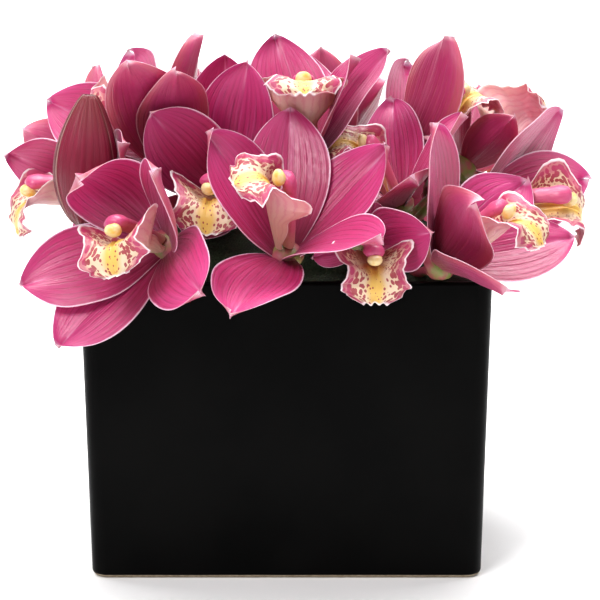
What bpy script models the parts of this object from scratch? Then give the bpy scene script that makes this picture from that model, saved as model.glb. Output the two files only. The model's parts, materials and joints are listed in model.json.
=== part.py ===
"""A potted orchid arrangement: cymbidium blooms and one bud on short stems, pushed into a block of
floral foam that fills a rectangular ceramic vase.

Metres, +Z up. The origin is the centre of the vase's underside, and the front faces -Y.
A bloom's own axes are: +X to the right of someone who faces it, +Y towards its dorsal sepal, and
+Z out of its face, with its origin where its parts meet.
"""

import itertools
import math
from dataclasses import dataclass, field, replace

import bmesh
import bpy
from mathutils import Matrix, Vector
from mathutils.bvhtree import BVHTree

# Vase
VASE_HEIGHT = 0.144
VASE_RIM_WIDTH = 0.190
VASE_RIM_DEPTH = 0.130
VASE_FOOT_WIDTH = 0.185
VASE_FOOT_DEPTH = 0.125
VASE_CORNER = 0.008
VASE_LEAST_CORNER = 0.002
VASE_WALL = 0.005
VASE_FLOOR = 0.007
VASE_FOOT_EDGE = 0.003
VASE_RIM_EDGE = 0.0015

# Floral foam: a block inside the vase, and a dome over it
FOAM_GAP = 0.0005
FOAM_RISE = 0.024
FOAM_SHOULDER = 2.0
FOAM_LEDGE = 0.009
FOAM_UNDER_RIM = 0.001

# Gap kept between pieces that would otherwise touch
GAP = 0.0003
# Gap that a tepal keeps from other blooms
ROOM = 0.0007
# Tepals: the three sepals and two petals of a bloom
TEPAL_LENGTH = 0.066
TEPAL_WIDTH = 0.040
TEPAL_THICKNESS = 0.0012
TEPAL_BASE = 0.28
TEPAL_WIDEST = 0.52
TEPAL_START = 0.003
TEPAL_FOOT = 0.14
# Reach of the room that each bloom's head keeps to itself
GUARD = TEPAL_START + TEPAL_LENGTH * TEPAL_FOOT + ROOM
TEPAL_OVERLAP = 0.45
TEPAL_ROWS = 4
TEPAL_COLUMNS = 3
PETAL_STEP = 0.0012

# Receptacle and stem
HEAD_RADIUS = 0.0085
HEAD_HEIGHT = 0.0054
HEAD_SIDES = 8
HEAD_RINGS = 5
STEM_RADIUS = 0.0021
STEM_IN_FOAM = 0.014
STEM_SIDES = 6
STEM_STEPS = 6
# Radii of a stem's first points, as shares of the rest
STEM_SWELL = (1.5, 1.4, 1.2)
# How near the middle of the foam a stem aims, as shares of its bloom's own place, and how deep
STEM_AIM = (0.45, 0.3)
STEM_AIM_DEPTH = 0.012
# How far a stem runs straight back from its bloom, at most and as a share of its length
STEM_BACK = 0.012
STEM_BACK_SHARE = 0.35

# Lip
LIP_LENGTH = 0.056
LIP_THICKNESS = 0.0011
LIP_ROWS = 6
LIP_COLUMNS = 4
LIP_START = Vector((0, -0.0045, HEAD_HEIGHT + 2 * GAP))

# Column
COLUMN_LENGTH = 0.041
COLUMN_RADIUS = 0.0031
COLUMN_SIDES = 8
# Degrees that the column points down at its foot, and that it gains by its tip
COLUMN_DROOP = -4
COLUMN_BEND = 16
COLUMN_START = Vector((0, 0.0012, HEAD_HEIGHT + 2 * GAP))

# Bud
BUD_LENGTH = 0.060
BUD_WIDTH = 0.027
BUD_RINGS = 9
BUD_SIDES = 12
# The bud's radius at its two ends, as a share of the greatest
BUD_END = 0.13
# How far its three sepals bulge, as a share of its radius
BUD_BULGE = 0.05
BUD_FOOT = Vector((-0.0935, -0.050, 0.168))
BUD_TIP = Vector((-0.0895, -0.050, 0.226))


@dataclass(frozen=True)
class Tepal:
    """One sepal or petal; angles are in degrees."""

    name: str
    around: float  # from the dorsal side, clockwise as seen by someone who faces the bloom
    lift: float  # out of the bloom's plane at the base
    curl: float  # further lift gained from base to tip
    cup: float  # how far each edge turns up from the middle
    size: float = 1.0
    petal: bool = False
    lean: float = 0.0  # sideways turn gained from base to tip
    twist: float = 0.0


TEPALS = (
    Tepal("left_petal", -68, 34, -14, 22, 1.0, True),
    Tepal("right_petal", 68, 34, -14, 22, 1.0, True),
    Tepal("dorsal_sepal", 0, 42, -10, 26),
    Tepal("left_sepal", -138, 16, -22, 18),
    Tepal("right_sepal", 138, 16, -22, 18),
)


@dataclass(frozen=True)
class Bloom:
    """Where a bloom sits, in millimetres, and how it faces, in degrees. Azimuth 0 faces -Y."""

    centre: tuple
    azimuth: float
    elevation: float
    roll: float = 0.0
    size: float = 1.0
    changes: dict = field(default_factory=dict)


def turned(around, lift, curl=-12, cup=20, **more):
    """Changes to one tepal of a bloom."""
    return {"around": around, "lift": lift, "curl": curl, "cup": cup, **more}


BLOOMS = (
    # The front of the mound, over the vase's rim
    Bloom(
        (0, -60, 156),
        0,
        62,
        70,
        changes={
            "dorsal_sepal": turned(-4, 36, 4, 26),
            "left_petal": turned(-68, 40, -10),
            "right_petal": turned(62, 40, -22),
            "left_sepal": turned(-119, 28, -10),
            "right_sepal": turned(131, 26, -22),
        },
    ),
    Bloom(
        (-55, -57, 160),
        -30,
        22,
        -20,
        changes={
            "dorsal_sepal": turned(-8, 36, 80, 12),
            "left_petal": turned(-88, 36, -12),
            "right_petal": turned(68, 56, 8, 24),
            "left_sepal": turned(-118, 20, -18),
            "right_sepal": turned(137, 46, -18),
        },
    ),
    Bloom(
        (70, -60, 152),
        54,
        42,
        -10,
        changes={
            "dorsal_sepal": turned(-5, 52),
            "left_petal": turned(-79, 63),
            "right_petal": turned(85, 22),
            "left_sepal": turned(-125, 46),
            "right_sepal": turned(120, 6),
        },
    ),
    Bloom(
        (-29, -8, 175),
        -8,
        17,
        changes={
            "dorsal_sepal": turned(-6, 34, -8, 28),
            "left_petal": turned(-42, 24, -10),
            "right_petal": turned(34, 36, -12),
        },
    ),
    Bloom(
        (8, -18, 190),
        0,
        75,
        changes={
            "dorsal_sepal": turned(-2, 36),
            "left_petal": turned(-30, 50),
            "right_petal": turned(60, 60),
            "left_sepal": turned(-148, 50),
            "right_sepal": turned(117, 50),
        },
    ),
    Bloom(
        (36, -50, 160),
        5,
        4,
        size=0.9,
        changes={
            "left_sepal": turned(-104, 20),
            "right_sepal": turned(104, 20),
        },
    ),
    Bloom(
        (90, -9, 170),
        78,
        8,
        -40,
        changes={
            "left_sepal": turned(-160, 64, size=0.6),
            "dorsal_sepal": turned(-7, 62),
            "left_petal": turned(-72, 60),
            "right_petal": turned(88, 44),
            "right_sepal": turned(130, 50),
        },
    ),
    Bloom(
        (54, -16, 171),
        -54,
        60,
        46,
        size=0.85,
        changes={
            "dorsal_sepal": turned(0, 44),
            "left_petal": turned(-84, 30),
            "left_sepal": turned(-126, 32),
        },
    ),
    Bloom(
        (-54, -15, 186),
        -150,
        62,
        changes={
            "dorsal_sepal": turned(0, 44),
            "left_petal": turned(-64, 42),
            "right_petal": turned(64, 42),
        },
    ),
    Bloom(
        (-78, -18, 178),
        -70,
        8,
        changes={
            "dorsal_sepal": turned(16, 56),
            "left_petal": turned(-66, 36, size=0.85),
            "right_petal": turned(58, 50),
        },
    ),
    # The top of the mound and its ends
    Bloom(
        (-64, 14, 192),
        -60,
        30,
        -80,
        changes={
            "dorsal_sepal": turned(-8, 46),
            "left_petal": turned(-72, 40),
            "right_petal": turned(30, 44),
        },
    ),
    Bloom(
        (-32, 24, 180),
        120,
        60,
        10,
        changes={
            "dorsal_sepal": turned(6, 52),
            "left_petal": turned(-59, 40),
            "right_petal": turned(54, 44),
        },
    ),
    Bloom(
        (58, 14, 186),
        100,
        54,
        -30,
        changes={
            "dorsal_sepal": turned(0, 26),
            "left_petal": turned(-52, 56),
            "right_petal": turned(74, 50),
        },
    ),
    Bloom(
        (86, 22, 182),
        142,
        32,
        90,
        changes={
            "dorsal_sepal": turned(0, 70),
            "left_sepal": turned(-140, 26),
        },
    ),
    # The back
    Bloom((16, 44, 172), 175, 40),
    Bloom((-78, 38, 172), -125, 18),
    Bloom((-30, 56, 164), -168, 12),
    Bloom((30, 60, 160), 172, 8),
    Bloom((76, 46, 166), 136, 12),
)

COLOURS = {
    "tepals": ((0.52, 0.045, 0.19), 0.45),
    "lip": ((0.80, 0.55, 0.45), 0.5),
    "column": ((0.72, 0.30, 0.36), 0.45),
    "bud": ((0.24, 0.035, 0.07), 0.5),
    "vase": ((0.011, 0.011, 0.010), 0.3),
    "floral_foam": ((0.035, 0.07, 0.025), 0.95),
}


def clear_scene():
    for obj in list(bpy.data.objects):
        bpy.data.objects.remove(obj, do_unlink=True)


def material(name):
    """The piece's own Principled material, made once."""
    found = bpy.data.materials.get(name)
    if found:
        return found
    colour, roughness = COLOURS[name]
    made = bpy.data.materials.new(name)
    made.use_nodes = True
    shader = made.node_tree.nodes["Principled BSDF"]
    shader.inputs["Base Color"].default_value = (*colour, 1)
    shader.inputs["Roughness"].default_value = roughness
    shader.inputs["Metallic"].default_value = 0
    return made


def add_object(name, mesh, look, place=None, smooth=40):
    mesh.materials.append(material(look))
    mesh.shade_smooth()
    mesh.set_sharp_from_angle(angle=math.radians(smooth))
    obj = bpy.data.objects.new(name, mesh)
    bpy.context.scene.collection.objects.link(obj)
    if place:
        obj.matrix_world = place
    return obj


def make_helper(obj):
    """Keeps a cutter or a shape that a Boolean joins out of the model itself."""
    obj.hide_render = True
    obj.display_type = "WIRE"


def add_boolean(obj, other, operation, solver="EXACT"):
    modifier = obj.modifiers.new(f"{operation.title()} {other.name}", "BOOLEAN")
    modifier.operation = operation
    modifier.object = other
    modifier.solver = solver


def between(stations, along):
    """Smoothly reads a list of (along, value, value, ...) rows at one place."""
    for low, high in itertools.pairwise(stations):
        if along <= high[0]:
            break
    share = max(0.0, min(1.0, (along - low[0]) / (high[0] - low[0])))
    share = share * share * (3 - 2 * share)
    return [a + (b - a) * share for a, b in zip(low[1:], high[1:])]


def sheet(name, rows, columns, place):
    """A grid of faces whose corners lie where place(along, across) says, along 0 to 1, across -1 to 1."""
    bm = bmesh.new()
    bmesh.ops.create_grid(bm, x_segments=columns, y_segments=rows, size=1)
    for vertex in bm.verts:
        vertex.co = place((vertex.co.y + 1) / 2, vertex.co.x)
    mesh = bpy.data.meshes.new(name)
    bm.to_mesh(mesh)
    bm.free()
    return mesh


def add_thickness(obj, thickness):
    modifier = obj.modifiers.new("Thickness", "SOLIDIFY")
    modifier.thickness = thickness
    modifier.offset = 0


def loft(name, loops):
    """A closed mesh through loops with the same number of points, with its ends capped."""
    bm = bmesh.new()
    rings = [[bm.verts.new(point) for point in loop] for loop in loops]
    count = len(rings[0])
    for ring, following in itertools.pairwise(rings):
        for i in range(count):
            j = (i + 1) % count
            bm.faces.new((ring[i], ring[j], following[j], following[i]))
    bm.faces.new(reversed(rings[0]))
    bm.faces.new(rings[-1])
    bmesh.ops.recalc_face_normals(bm, faces=bm.faces)
    mesh = bpy.data.meshes.new(name)
    bm.to_mesh(mesh)
    bm.free()
    return mesh


# ---------------------------------------------------------------- vase and foam


def rounded_rectangle(width, depth, corner, height, steps=5):
    """A loop of points round a rectangle with round corners, anticlockwise from the right side."""
    points = []
    for quarter, (side_x, side_y) in enumerate(((1, 1), (-1, 1), (-1, -1), (1, -1))):
        for step in range(steps + 1):
            angle = math.radians(90 * (quarter + step / steps))
            points.append(
                Vector(
                    (
                        side_x * (width / 2 - corner) + corner * math.cos(angle),
                        side_y * (depth / 2 - corner) + corner * math.sin(angle),
                        height,
                    )
                )
            )
    return points


def vase_section(height, inset=0.0):
    """The vase's outline at one height, moved in by inset."""
    share = height / VASE_HEIGHT
    width = VASE_FOOT_WIDTH + (VASE_RIM_WIDTH - VASE_FOOT_WIDTH) * share
    depth = VASE_FOOT_DEPTH + (VASE_RIM_DEPTH - VASE_FOOT_DEPTH) * share
    corner = max(VASE_CORNER - inset, VASE_LEAST_CORNER)
    return rounded_rectangle(width - 2 * inset, depth - 2 * inset, corner, height)


def make_vase():
    loops = []
    for angle in (0, 30, 60, 90):
        turn = math.radians(angle)
        inset = VASE_FOOT_EDGE * (1 - math.sin(turn))
        loops.append(vase_section(VASE_FOOT_EDGE * (1 - math.cos(turn)), inset))
    for angle in (0, 45, 90):
        turn = math.radians(angle)
        inset = VASE_RIM_EDGE * (1 - math.cos(turn))
        loops.append(vase_section(VASE_HEIGHT - VASE_RIM_EDGE * (1 - math.sin(turn)), inset))
    for angle in (90, 45, 0):
        turn = math.radians(angle)
        inset = VASE_WALL - VASE_RIM_EDGE * (1 - math.cos(turn))
        loops.append(vase_section(VASE_HEIGHT - VASE_RIM_EDGE * (1 - math.sin(turn)), inset))
    loops.append(vase_section(VASE_FLOOR, VASE_WALL))
    return add_object("vase", loft("vase", loops), "vase")


def foam_half_sizes():
    """Half the width and depth of the foam's dome at the vase's rim."""
    inset = VASE_WALL + FOAM_GAP + FOAM_LEDGE
    return VASE_RIM_WIDTH / 2 - inset, VASE_RIM_DEPTH / 2 - inset


def foam_level(point):
    """Under 1 inside the foam's dome, 1 on it and over 1 outside it."""
    half_width, half_depth = foam_half_sizes()
    rise = max(point.z - VASE_HEIGHT, 0) / FOAM_RISE
    return (
        abs(point.x / half_width) ** FOAM_SHOULDER
        + abs(point.y / half_depth) ** FOAM_SHOULDER
        + rise**FOAM_SHOULDER
    )


def make_foam():
    inset = VASE_WALL + FOAM_GAP
    loops = [vase_section(VASE_FLOOR + FOAM_GAP, inset)]
    loops.append(vase_section(VASE_HEIGHT - FOAM_UNDER_RIM, inset))
    half_width, half_depth = foam_half_sizes()
    for angle in (18, 38, 58, 74):
        turn = math.radians(angle)
        width = half_width * math.cos(turn) ** (2 / FOAM_SHOULDER)
        depth = half_depth * math.cos(turn) ** (2 / FOAM_SHOULDER)
        height = VASE_HEIGHT + FOAM_RISE * math.sin(turn) ** (2 / FOAM_SHOULDER)
        corner = min(width, depth) * (0.3 + 0.6 * angle / 90)
        loops.append(rounded_rectangle(2 * width, 2 * depth, corner, height))
    return add_object("floral_foam", loft("floral_foam", loops), "floral_foam")


# ---------------------------------------------------------------- the parts of a bloom


def bloom_frame(bloom):
    """The matrix that carries a bloom's own axes into the arrangement."""
    return (
        Matrix.Translation(Vector(bloom.centre) / 1000)
        @ Matrix.Rotation(math.radians(bloom.azimuth), 4, "Z")
        @ Matrix.Rotation(math.radians(90 - bloom.elevation), 4, "X")
        @ Matrix.Rotation(math.radians(-bloom.roll), 4, "Z")
    )


def tepal_outline(along):
    """Half the tepal's width at one place, as a share of its greatest half width."""
    if along < TEPAL_WIDEST:
        swell = math.sin(math.pi / 2 * along / TEPAL_WIDEST)
        return TEPAL_BASE + (1 - TEPAL_BASE) * swell
    past = (along - TEPAL_WIDEST) / (1 - TEPAL_WIDEST)
    return max(1 - past**2.1, 0) ** 0.8 * 0.97 + 0.03


def tepal_point(tepal, size, along, across, out=0.0, wider=0.0):
    """A point of a tepal in its bloom's axes; out is measured from its middle surface."""
    length = (TEPAL_LENGTH * tepal.size + wider) * size
    lift = math.radians(tepal.lift)
    curl = math.radians(tepal.curl if abs(tepal.curl) > 0.5 else 0.5)
    angle = lift + curl * along
    run = length * (math.sin(angle) - math.sin(lift)) / curl
    rise = length * (math.cos(lift) - math.cos(angle)) / curl
    around = math.radians(tepal.around)
    outward = Vector((math.sin(around), math.cos(around), 0))
    side = Vector((math.cos(around), -math.sin(around), 0))
    facing = Vector((0, 0, 1))
    tangent = outward * math.cos(angle) + facing * math.sin(angle)
    normal = facing * math.cos(angle) - outward * math.sin(angle)
    point = outward * (TEPAL_START + run) + facing * (rise + tepal.petal * PETAL_STEP)
    point += side * (length * math.radians(tepal.lean) * along * along / 2)
    turn = Matrix.Rotation(math.radians(tepal.twist) * along, 3, tangent)
    side, normal = turn @ side, turn @ normal
    half = (TEPAL_WIDTH / 2 * tepal_outline(along) * tepal.size + wider) * size
    cup = math.radians(tepal.cup)
    bend = cup * across
    radius = half / cup
    point += side * (radius * math.sin(bend)) + normal * (radius * (1 - math.cos(bend)))
    return point + (normal * math.cos(bend) - side * math.sin(bend)) * out


# along, half width in millimetres, wrap and droop in degrees
LIP_STATIONS = (
    (0.00, 3.6, 62, 10),
    (0.28, 9.5, 84, 9),
    (0.58, 23.0, 92, 0),
    (0.70, 18.0, 64, 30),
    (0.82, 14.0, 30, 84),
    (0.93, 11.0, 14, 112),
    (1.00, 5.0, 8, 120),
)
LIP_STEPS = 40


def lip_spine():
    """Places and droop angles along the middle of the lip."""
    point = LIP_START.copy()
    spine = []
    for step in range(LIP_STEPS + 1):
        droop = math.radians(between(LIP_STATIONS, step / LIP_STEPS)[2])
        spine.append((point.copy(), droop))
        point += Vector((0, -math.sin(droop), math.cos(droop))) * (LIP_LENGTH / LIP_STEPS)
    return spine


LIP_SPINE = lip_spine()


def lip_point(size, along, across, out=0.0):
    """A point of the lip, a trough that holds the column and then turns down."""
    step = min(int(along * LIP_STEPS), LIP_STEPS - 1)
    share = along * LIP_STEPS - step
    point = LIP_SPINE[step][0].lerp(LIP_SPINE[step + 1][0], share)
    half, wrap, droop = between(LIP_STATIONS, along)
    wrap, droop = math.radians(wrap), math.radians(droop)
    normal = Vector((0, math.cos(droop), math.sin(droop)))
    side = Vector((1, 0, 0))
    radius = half / 1000 / wrap
    bend = wrap * across
    point = point + side * (radius * math.sin(bend)) + normal * (radius * (1 - math.cos(bend)))
    return (point + (normal * math.cos(bend) - side * math.sin(bend)) * out) * size


def tube(name, path, radii, sides):
    """A round closed tube along a path, with one radius for each point."""
    loops = []
    side = None
    for index, point in enumerate(path):
        ahead = path[min(index + 1, len(path) - 1)] - path[max(index - 1, 0)]
        if side is None:
            side = ahead.orthogonal().normalized()
        side = (side - ahead * side.dot(ahead) / ahead.length_squared).normalized()
        up = ahead.normalized().cross(side)
        turns = [2 * math.pi * i / sides for i in range(sides)]
        loops.append([point + (side * math.cos(a) + up * math.sin(a)) * radii[index] for a in turns])
    return loft(name, loops)


# along, radius as a share of the column's
COLUMN_STATIONS = (
    (0.00, 0.95),
    (0.35, 0.92),
    (0.74, 1.15),
    (0.86, 1.42),
    (0.95, 1.30),
    (1.00, 0.62),
)


def column_path():
    """The column's middle line: straight out, then bent down over the lip."""
    path = []
    point = COLUMN_START.copy()
    last = 0.0
    for along, _ in COLUMN_STATIONS:
        droop = math.radians(COLUMN_DROOP + COLUMN_BEND * along * along)
        point = point + Vector((0, -math.sin(droop), math.cos(droop))) * COLUMN_LENGTH * (along - last)
        path.append(point)
        last = along
    return path


# Times that the search for the foam's surface halves its step
HALVINGS = 24


def stem_path(start, backward):
    """From a bloom or bud, back along its axis and then straight into the foam."""
    half_width, half_depth = foam_half_sizes()
    aim = Vector((start.x * STEM_AIM[0], start.y * STEM_AIM[1], VASE_HEIGHT - STEM_AIM_DEPTH))
    aim.x = max(-half_width, min(half_width, aim.x))
    aim.y = max(-half_depth, min(half_depth, aim.y))
    outside, inside = start, aim
    for _ in range(HALVINGS):
        middle = (outside + inside) / 2
        if foam_level(middle) > 1:
            outside = middle
        else:
            inside = middle
    surface = inside
    end = surface + (aim - surface).normalized() * STEM_IN_FOAM
    bend = start + backward * min(STEM_BACK_SHARE * (start - surface).length, STEM_BACK)
    path = []
    for step in range(STEM_STEPS + 1):
        share = step / STEM_STEPS
        first, second = start.lerp(bend, share), bend.lerp(end, share)
        path.append(first.lerp(second, share))
    return path


# ---------------------------------------------------------------- fitting tepals between the blooms


def tepal_obstacle(tepal, size, frame, foot):
    """Both faces of a tepal from its foot on, with room round them."""
    points, faces = [], []
    reach = TEPAL_THICKNESS / 2 + ROOM
    stride = TEPAL_COLUMNS + 1
    for out in (reach, -reach):
        first = len(points)
        for row, column in itertools.product(range(TEPAL_ROWS + 1), range(stride)):
            along = max(row / TEPAL_ROWS, foot)
            across = 2 * column / TEPAL_COLUMNS - 1
            points.append(frame @ tepal_point(tepal, size, along, across, out, ROOM))
        for row, column in itertools.product(range(TEPAL_ROWS), range(TEPAL_COLUMNS)):
            corner = first + row * stride + column
            faces.append((corner, corner + 1, corner + stride + 1, corner + stride))
    return Obstacle(points, faces)


class Obstacle:
    """Something that a tepal has to stay clear of."""

    def __init__(self, points, faces):
        self.low = [min(point[axis] for point in points) for axis in range(3)]
        self.high = [max(point[axis] for point in points) for axis in range(3)]
        self.points = points
        self.tree = BVHTree.FromPolygons(points, faces)

    def touches(self, other):
        for axis in range(3):
            if self.low[axis] > other.high[axis] or other.low[axis] > self.high[axis]:
                return False
        return bool(self.tree.overlap(other.tree))


def guard(frame, size):
    """Room round a bloom's head for the feet of its tepals."""
    reach = GUARD * size
    corners = [
        frame @ Vector((reach * x, reach * y, reach * z))
        for x, y, z in ((1, 0, 0), (-1, 0, 0), (0, 1, 0), (0, -1, 0), (0, 0, 1), (0, 0, -1))
    ]
    faces = [(x, y, z) for x in (0, 1) for y in (2, 3) for z in (4, 5)]
    return Obstacle(corners, faces)


def mesh_obstacle(mesh, place):
    points = [place @ vertex.co for vertex in mesh.vertices]
    return Obstacle(points, [tuple(face.vertices) for face in mesh.polygons])


# What each degree of lift, each degree of turn and each share of size lost counts for
LIFT_COST, TURN_COST, SIZE_COST = 0.25, 0.2, 26


def cost(change):
    lift, turn, shrink = change
    return abs(lift) * LIFT_COST + abs(turn) * TURN_COST + (1 - shrink) * SIZE_COST


def tries():
    """Changes to a tepal's lift, direction and size, the smallest first."""
    lifts = range(-48, 49, 6)
    turns = range(-28, 29, 7)
    sizes = (1.0, 0.9, 0.8, 0.7, 0.6, 0.5, 0.4, 0.3)
    return sorted(itertools.product(lifts, turns, sizes), key=cost)


TRIES = tries()


def settle(tepal, bloom, frame, others, siblings):
    """The tepal, turned, lifted or made smaller as little as clears the other blooms and its own."""
    for lift, turn, shrink in TRIES:
        changed = replace(
            tepal,
            around=tepal.around + turn,
            lift=tepal.lift + lift,
            size=tepal.size * shrink,
        )
        outline = tepal_obstacle(changed, bloom.size, frame, TEPAL_FOOT)
        if any(foam_level(point) < 1 for point in outline.points):
            continue
        if any(outline.touches(other) for other in others):
            continue
        blade = tepal_obstacle(changed, bloom.size, frame, TEPAL_OVERLAP)
        if not any(blade.touches(sibling) for sibling in siblings):
            return changed, outline, blade
    return None, None, None


# ---------------------------------------------------------------- building


def bloom_tepals(bloom):
    """The bloom's own tepals, with its changes from the usual ones."""
    return [replace(tepal, **bloom.changes.get(tepal.name, {})) for tepal in TEPALS]


def make_stem(name, frame):
    """The bloom's stem, from its head down into the foam, with the path and radii it follows."""
    backward = (frame.to_3x3() @ Vector((0, 0, -1))).normalized()
    back = frame.inverted()
    path = [back @ point for point in stem_path(frame.translation, backward)]
    radii = [STEM_RADIUS * swell for swell in STEM_SWELL]
    radii += [STEM_RADIUS] * (len(path) - len(radii))
    return add_object(name, tube(name, path, radii, STEM_SIDES), "tepals", frame), path, radii


def make_head(name, frame, size):
    """The head of the stem, where the tepals join."""
    bm = bmesh.new()
    bmesh.ops.create_uvsphere(bm, u_segments=HEAD_SIDES, v_segments=HEAD_RINGS, radius=size)
    bmesh.ops.scale(bm, verts=bm.verts, vec=(HEAD_RADIUS, HEAD_RADIUS, HEAD_HEIGHT))
    mesh = bpy.data.meshes.new(name)
    bm.to_mesh(mesh)
    bm.free()
    return add_object(name, mesh, "tepals", frame)


def apply_modifiers(obj):
    """Applies the modifiers and drops any sealed pocket that a union left inside."""
    graph = bpy.context.evaluated_depsgraph_get()
    mesh = bpy.data.meshes.new_from_object(obj.evaluated_get(graph))
    bm = bmesh.new()
    bm.from_mesh(mesh)
    left = set(bm.faces)
    shells = []
    while left:
        found = [left.pop()]
        for face in found:
            for edge in face.edges:
                near = [other for other in edge.link_faces if other in left]
                left.difference_update(near)
                found.extend(near)
        shells.append(found)
    shells.sort(key=len)
    bmesh.ops.delete(bm, geom=[face for shell in shells[:-1] for face in shell], context="FACES")
    bm.to_mesh(mesh)
    bm.free()
    obj.modifiers.clear()
    obj.data = mesh


def cut_hole(name, foam, path, radii, frame):
    """Cuts the hole in the foam that a stem goes down, a gap wider than the stem."""
    longer = path[-1] + (path[-1] - path[-2]).normalized() * GAP
    hole = tube(name, [*path[:-1], longer], [radius + GAP for radius in radii], STEM_SIDES)
    cutter = add_object(name, hole, "floral_foam", frame)
    make_helper(cutter)
    add_boolean(foam, cutter, "DIFFERENCE")


def make_column(name, frame, size):
    path = [point * size for point in column_path()]
    radii = [COLUMN_RADIUS * share * size for _, share in COLUMN_STATIONS]
    return add_object(name, tube(name, path, radii, COLUMN_SIDES), "column", frame)


def make_lip(name, frame, size):
    mesh = sheet(name, LIP_ROWS, LIP_COLUMNS, lambda along, across: lip_point(size, along, across))
    lip = add_object(name, mesh, "lip", frame)
    add_thickness(lip, LIP_THICKNESS)
    return lip


def make_bud(foam):
    """A closed bud of three overlapping sepals, on its own stem."""
    axis = (BUD_TIP - BUD_FOOT).normalized()
    frame = Matrix.Translation(BUD_FOOT) @ axis.to_track_quat("Z", "Y").to_matrix().to_4x4()
    loops = []
    for ring in range(BUD_RINGS + 1):
        along = ring / BUD_RINGS
        swell = max(math.sin(math.pi * along**0.85), 0) ** 0.8
        radius = BUD_WIDTH / 2 * (BUD_END + (1 - BUD_END) * swell)
        loop = []
        for step in range(BUD_SIDES):
            angle = 2 * math.pi * step / BUD_SIDES
            reach = radius * (1 + BUD_BULGE * math.cos(3 * angle))
            loop.append(Vector((reach * math.cos(angle), reach * math.sin(angle), BUD_LENGTH * along)))
        loops.append(loop)
    bud = add_object("bud", loft("bud", loops), "bud", frame)
    back = frame.inverted()
    path = [back @ point for point in stem_path(BUD_FOOT + axis * STEM_RADIUS, -axis)]
    radii = [STEM_RADIUS] * len(path)
    stem = add_object("bud_stem", tube("bud_stem", path, radii, STEM_SIDES), "bud", frame)
    make_helper(stem)
    add_boolean(bud, stem, "UNION")
    cut_hole("bud_hole", foam, path, radii, frame)
    return [mesh_obstacle(bud.data, frame), mesh_obstacle(stem.data, frame)]


def make_bloom_cores(foam):
    """Every bloom's stem, head, lip and column, and what each of them keeps other blooms off."""
    cores, stems, others = [], [], []
    for number, bloom in enumerate(BLOOMS, 1):
        name = f"bloom_{number:02d}"
        frame = bloom_frame(bloom)
        core, path, radii = make_stem(f"{name}_tepals", frame)
        head = make_head(f"{name}_head", frame, bloom.size)
        make_helper(head)
        add_boolean(core, head, "UNION", "MANIFOLD")
        cut_hole(f"{name}_hole", foam, path, radii, frame)
        lip = make_lip(f"{name}_lip", frame, bloom.size)
        column = make_column(f"{name}_column", frame, bloom.size)
        cores.append(core)
        stems.append([mesh_obstacle(core.data, frame), guard(frame, bloom.size)])
        others.append(mesh_obstacle(lip.data, frame))
        others.append(mesh_obstacle(column.data, frame))
    return cores, stems, others


def add_tepals(core, bloom, obstacles):
    """Fits the bloom's tepals between the obstacles and joins them to its stem."""
    frame = core.matrix_world
    placed, blades = [], []
    for tepal in bloom_tepals(bloom):
        fitted, outline, outer = settle(tepal, bloom, frame, obstacles, blades)
        if fitted is None:
            continue
        placed.append(outline)
        blades.append(outer)
        mesh = sheet(
            f"{core.name}_{tepal.name}",
            TEPAL_ROWS,
            TEPAL_COLUMNS,
            lambda along, across: tepal_point(fitted, bloom.size, along, across),
        )
        blade = add_object(mesh.name, mesh, "tepals", frame)
        add_thickness(blade, TEPAL_THICKNESS * bloom.size)
        make_helper(blade)
        # The exact solver loses the whole bloom where the thin blades cross close to the head.
        add_boolean(core, blade, "UNION", "MANIFOLD")
    apply_modifiers(core)
    return placed


def main():
    clear_scene()
    vase = make_vase()
    foam = make_foam()
    obstacles = [mesh_obstacle(obj.data, obj.matrix_world) for obj in (vase, foam)]
    obstacles += make_bud(foam)
    cores, stems, others = make_bloom_cores(foam)
    obstacles += others
    for index, bloom in enumerate(BLOOMS):
        other_stems = [piece for pair in stems[:index] + stems[index + 1 :] for piece in pair]
        obstacles += add_tepals(cores[index], bloom, obstacles + other_stems)


main()
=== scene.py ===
"""The looks of the potted orchid arrangement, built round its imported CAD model.

Metres, +Z up, the front towards -Y. Every bloom is posed by the same rules as its CAD solids, and then
gets fine meshes: two-faced tepals with veins and pale margins, a ruffled three-lobed lip with keels,
a column with its cap, and a stem. The bud, the foam and the vase are refined the same way.
"""

import itertools
import json
import math
import random
from dataclasses import dataclass, replace

import bmesh
import bpy
from mathutils import Matrix, Vector, noise
from mathutils.bvhtree import BVHTree

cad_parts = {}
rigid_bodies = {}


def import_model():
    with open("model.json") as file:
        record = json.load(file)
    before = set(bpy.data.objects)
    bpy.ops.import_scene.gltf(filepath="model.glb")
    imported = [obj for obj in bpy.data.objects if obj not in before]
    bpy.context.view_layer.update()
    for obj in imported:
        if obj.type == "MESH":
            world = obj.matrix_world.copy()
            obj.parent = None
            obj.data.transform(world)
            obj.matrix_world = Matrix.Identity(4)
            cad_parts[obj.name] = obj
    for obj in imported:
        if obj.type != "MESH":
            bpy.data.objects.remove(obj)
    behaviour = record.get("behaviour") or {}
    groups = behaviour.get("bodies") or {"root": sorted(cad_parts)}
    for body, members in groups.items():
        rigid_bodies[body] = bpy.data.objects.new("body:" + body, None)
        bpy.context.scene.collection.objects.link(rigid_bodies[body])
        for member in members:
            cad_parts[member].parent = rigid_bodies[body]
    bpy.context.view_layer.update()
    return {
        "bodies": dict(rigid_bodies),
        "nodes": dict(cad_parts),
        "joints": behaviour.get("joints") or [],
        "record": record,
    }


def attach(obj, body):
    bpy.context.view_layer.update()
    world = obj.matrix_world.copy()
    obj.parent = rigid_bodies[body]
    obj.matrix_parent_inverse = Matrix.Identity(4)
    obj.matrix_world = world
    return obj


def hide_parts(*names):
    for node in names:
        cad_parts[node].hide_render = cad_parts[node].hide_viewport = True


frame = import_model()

# ---------------------------------------------------------------- sizes shared with the CAD

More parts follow.
